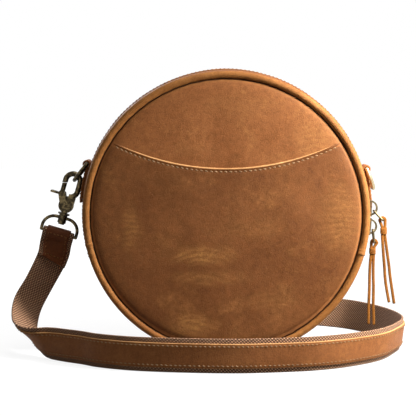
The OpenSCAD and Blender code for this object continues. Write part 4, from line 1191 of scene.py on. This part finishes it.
def fold_open(i):
    """How far a fold's layers stand apart at a place counted from the eye's bar."""
    x = min(1.0, max(0.0, i * SOLID_STEPS / ROUTE_STEPS - 2) / 6)
    return (2 * FOLD_MID - WEBBING_T - SKIN_GAP) * (1 - x * x * (3 - 2 * x))


def stitches_along(places, from_edge, height, stitch_size):
    """Two rows of stitches along a strip, each this far in from the leather's edge."""
    parts = []
    for offset in (from_edge - OVERLAY_W / 2, OVERLAY_W / 2 - from_edge):
        line = [(middle + across * offset + out * height, out) for middle, across, out in places]
        parts += stitch_row(line, **stitch_size)
    return parts


def build_strap():
    """Webbing with narrower leather sewn on its outer face."""
    places = strap_places()
    add_strip("strap_webbing_cloth", places, WEBBING_SECTION, "bag", [strap_webbing], ["strap_webbing"])
    covered = places[5:-5]
    section = strip_section(OVERLAY_W, WEBBING_HALF + 0.05, OVERLAY_HIGH, 0.5)
    at_edge = [1 if abs(across) > OVERLAY_W / 2 - 0.4 else 0 for across, _ in section]
    add_strip("strap_leather_skin", covered, section, "bag", [strap_leather, cut_edge],
              ["strap_leather"], at_edge * len(covered))
    parts = stitches_along(places[4:-4], 2.0, OVERLAY_HIGH + 0.05, STRAP_STITCH)
    add_stitches("strap_stitches", parts, pale_thread)
    build_strap_end("left", LEFT_BAR, HOOK_DOWN, places[:TAIL_PLACES])
    build_strap_end("right", RIGHT_BAR, Vector((1, 0, 0)), places[:-TAIL_PLACES:-1])


def build_strap_end(name, bar, run, from_bar):
    """The fold round an eye's bar: the webbing turned back, with a leather patch sewn over it."""
    first, across, _ = from_bar[0]
    folded = []
    for k in range(FOLD_STEPS + 1):
        a = math.pi * k / FOLD_STEPS
        spoke = (first - bar).normalized() * math.cos(a) - run * math.sin(a)
        folded.append((bar + spoke * FOLD_MID, across, spoke))
    for i, (middle, here_across, here_out) in enumerate(from_bar[1:], 1):
        folded.append((middle - here_out * (WEBBING_T + SKIN_GAP + fold_open(i)), here_across, -here_out))
    if (folded[1][0] - folded[0][0]).cross(folded[0][1]).dot(folded[0][2]) < 0:
        folded = [(middle, -side, facing) for middle, side, facing in folded]
    add_strip(f"strap_fold_{name}_cloth", folded, WEBBING_SECTION, "bag", [strap_webbing],
              [f"strap_fold_{name}", f"strap_tail_{name}"])
    section = strip_section(OVERLAY_W + 1, WEBBING_HALF + 0.08, OVERLAY_HIGH, 0.5)
    add_strip(f"strap_patch_{name}_skin", folded, section, "bag", [patch_leather],
              [f"strap_patch_{name}"])
    parts = stitches_along(folded[16:], 1.6, OVERLAY_HIGH, PATCH_STITCH)
    for middle, side, facing in (folded[18], folded[-4]):
        row = [(middle + side * (-7 + 14 * k / 8) + facing * OVERLAY_HIGH, facing) for k in range(9)]
        parts += stitch_row(row, **PATCH_END_STITCH)
    add_stitches(f"strap_patch_{name}_stitches", parts, tan_thread)


# Zip pulls

# Each pull's length, and shares of it: (down, sideways) of its neck and of the places along its two tails
PULL_LEN = 65.0
UPPER_NECK, LOWER_NECK = (0.128, 0.014), (0.1, -0.018)
UPPER_TAILS = (((0.27, 0.004), (0.51, 0.023), (0.78, 0.049), (0.985, 0.088)),
               ((0.27, 0.042), (0.51, 0.077), (0.78, 0.114), (1, 0.149)))
LOWER_TAILS = (((0.27, -0.045), (0.51, -0.051), (0.78, -0.056), (0.98, -0.06)),
               ((0.27, -0.006), (0.51, -0.003), (0.78, 0), (0.99, 0.003)))
LACE_HALF_T = 1.05
LOOP_R = 2.05
NECK_HALF, NECK_LOW, NECK_HIGH = 1.02, -2.6, 2.2
LACE_STEPS = 8
BINDING_TURNS, BINDING_STEPS = 4, 22
BINDING_WIDE, BINDING_DEEP, BINDING_HIGH = 2.35 * 0.93, 1.75 * 0.93, 2.1


def pull_place(down, sideways):
    return Vector((sideways * PULL_LEN, 0, -down * PULL_LEN))


def lace_places(bar, neck, tails, wander):
    """One lace as (middle, across, out): up one tail, through the link and down the other."""
    left, right = ([pull_place(*share) for share in shares] for shares in tails)
    line = left[::-1] + [neck + Vector((-NECK_HALF, 0, z)) for z in (NECK_LOW, NECK_HIGH)]
    line.append(Vector((-LOOP_R, 0, -0.6)))
    for a in (math.radians(degrees) for degrees in (170, 130, 90, 50, 10)):
        line.append(Vector((LOOP_R * math.cos(a), 0, LOOP_R * math.sin(a))))
    line.append(Vector((LOOP_R, 0, -0.6)))
    line += [neck + Vector((NECK_HALF, 0, z)) for z in (NECK_HIGH, NECK_LOW)] + right
    line = smooth_line(line, LACE_STEPS)
    across = Vector((0, 1, 0))
    places = []
    for i, p in enumerate(line):
        fall = max(0.0, -p.z - 12) / PULL_LEN
        sway = Vector((0.25 * ripple(p, 14, wander) * min(1, fall * 3), 0.8 * ripple(p, 17, wander + 4) * fall, 0))
        places.append((bar + p + sway, across, across.cross(direction_at(line, i))))
    return places


def binding_places(middle):
    """A thin lace wound round the neck, which is a little squarish."""
    last = BINDING_TURNS * BINDING_STEPS
    coil = []
    for k in range(last + 1):
        c, s = (part(2 * math.pi * k / BINDING_STEPS) for part in (math.cos, math.sin))
        squarish = (abs(c) ** 4 + abs(s) ** 4) ** -0.25
        coil.append(middle + Vector((BINDING_WIDE * c * squarish, BINDING_DEEP * s * squarish,
                                     BINDING_HIGH * (1 - 2 * k / last))))
    places = []
    for i, p in enumerate(coil):
        out = Vector((p.x - middle.x, p.y - middle.y, 0)).normalized()
        places.append((p, direction_at(coil, i).cross(out).normalized(), out))
    return places


def build_pull(name, bar, neck_share, tails, wander):
    """A leather lace looped through a link, with its two ends hanging and a thinner lace wound round its neck."""
    body = f"tassel_{name}"
    neck = pull_place(*neck_share)
    places = lace_places(bar, neck, tails, wander)
    section = strip_section(LACE_W, -LACE_HALF_T, LACE_HALF_T, 0.4)
    bound = 4 * LACE_STEPS + LACE_STEPS // 2  # half way up the neck, past the four places of a tail
    add_strip(f"pull_{name}_loop", places[bound:-bound], section, body, [lace_leather], [body])
    for label, tail in (("left", places[bound::-1]), ("right", places[-bound - 1:])):
        lace = add_strip(f"pull_{name}_tail_{label}", tail, section, body, [lace_leather])
    section = [(0.6 * math.cos(math.radians(a)), 0.45 * math.sin(math.radians(a))) for a in range(0, 360, 45)]
    add_strip(f"pull_{name}_binding", binding_places(bar + neck), section, body, [lace_leather],
              [f"lace_wrap_{name}"])


# Pieces that keep their solids

def finish_kept_solids():
    """Gives the metal pieces that are shown as they come from the CAD their plating."""
    hooks = [f"{part}_{side}" for side in ("left", "right")
             for part in ("eye", "hook", "swivel_pin", "trigger", "rivet", "trigger_spring")]
    finishes = ((hook_brass, ["ring_left"] + hooks), (ring_brass, ["ring_right"]),
                (zip_brass, ["slider_upper", "slider_lower", "link_upper", "link_lower", "zip_end_stops"]))
    for material, nodes in finishes:
        for node in nodes:
            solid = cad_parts[node]
            solid.data.materials.clear()
            solid.data.materials.append(material)


build_camera()
build_world()
for lamp in LAMPS:
    add_lamp(*lamp)
build_floor()
build_panel("front", -1, panel_leather)
build_panel("back", 1, back_leather)
build_pocket()
for side, label in SIDES:
    build_roll(f"{label}_piping_skin", side, creased_radius, 18, 0.0, piping_leather,
               f"{label}_piping")
for side, label in SIDES:
    build_roll(f"{label}_piping_twist", side, twisted_radius, 12, 0.9, piping_cord,
               f"{label}_piping_cord")
for side, label in SIDES:
    build_piping_join(f"{label}_piping_join_right", side, -15.2)
    build_piping_join(f"{label}_piping_join_left", side, 192.5)
    build_rim_stitches(f"{label}_rim_stitches", side)
build_gusset()
build_lining()
for side, label in SIDES:
    build_zip_tape(label, side)
for side, label in SIDES:
    build_teeth(label, side)
build_tab("tab_right", TAB_RIGHT_DEG, False)
build_tab("tab_left", TAB_LEFT_DEG, True)
build_strap()
build_pull("upper", UPPER_BAR, UPPER_NECK, UPPER_TAILS, 2.0)
build_pull("lower", LOWER_BAR, LOWER_NECK, LOWER_TAILS, 6.0)
finish_kept_solids()
bpy.context.scene.view_settings.view_transform = "Standard"
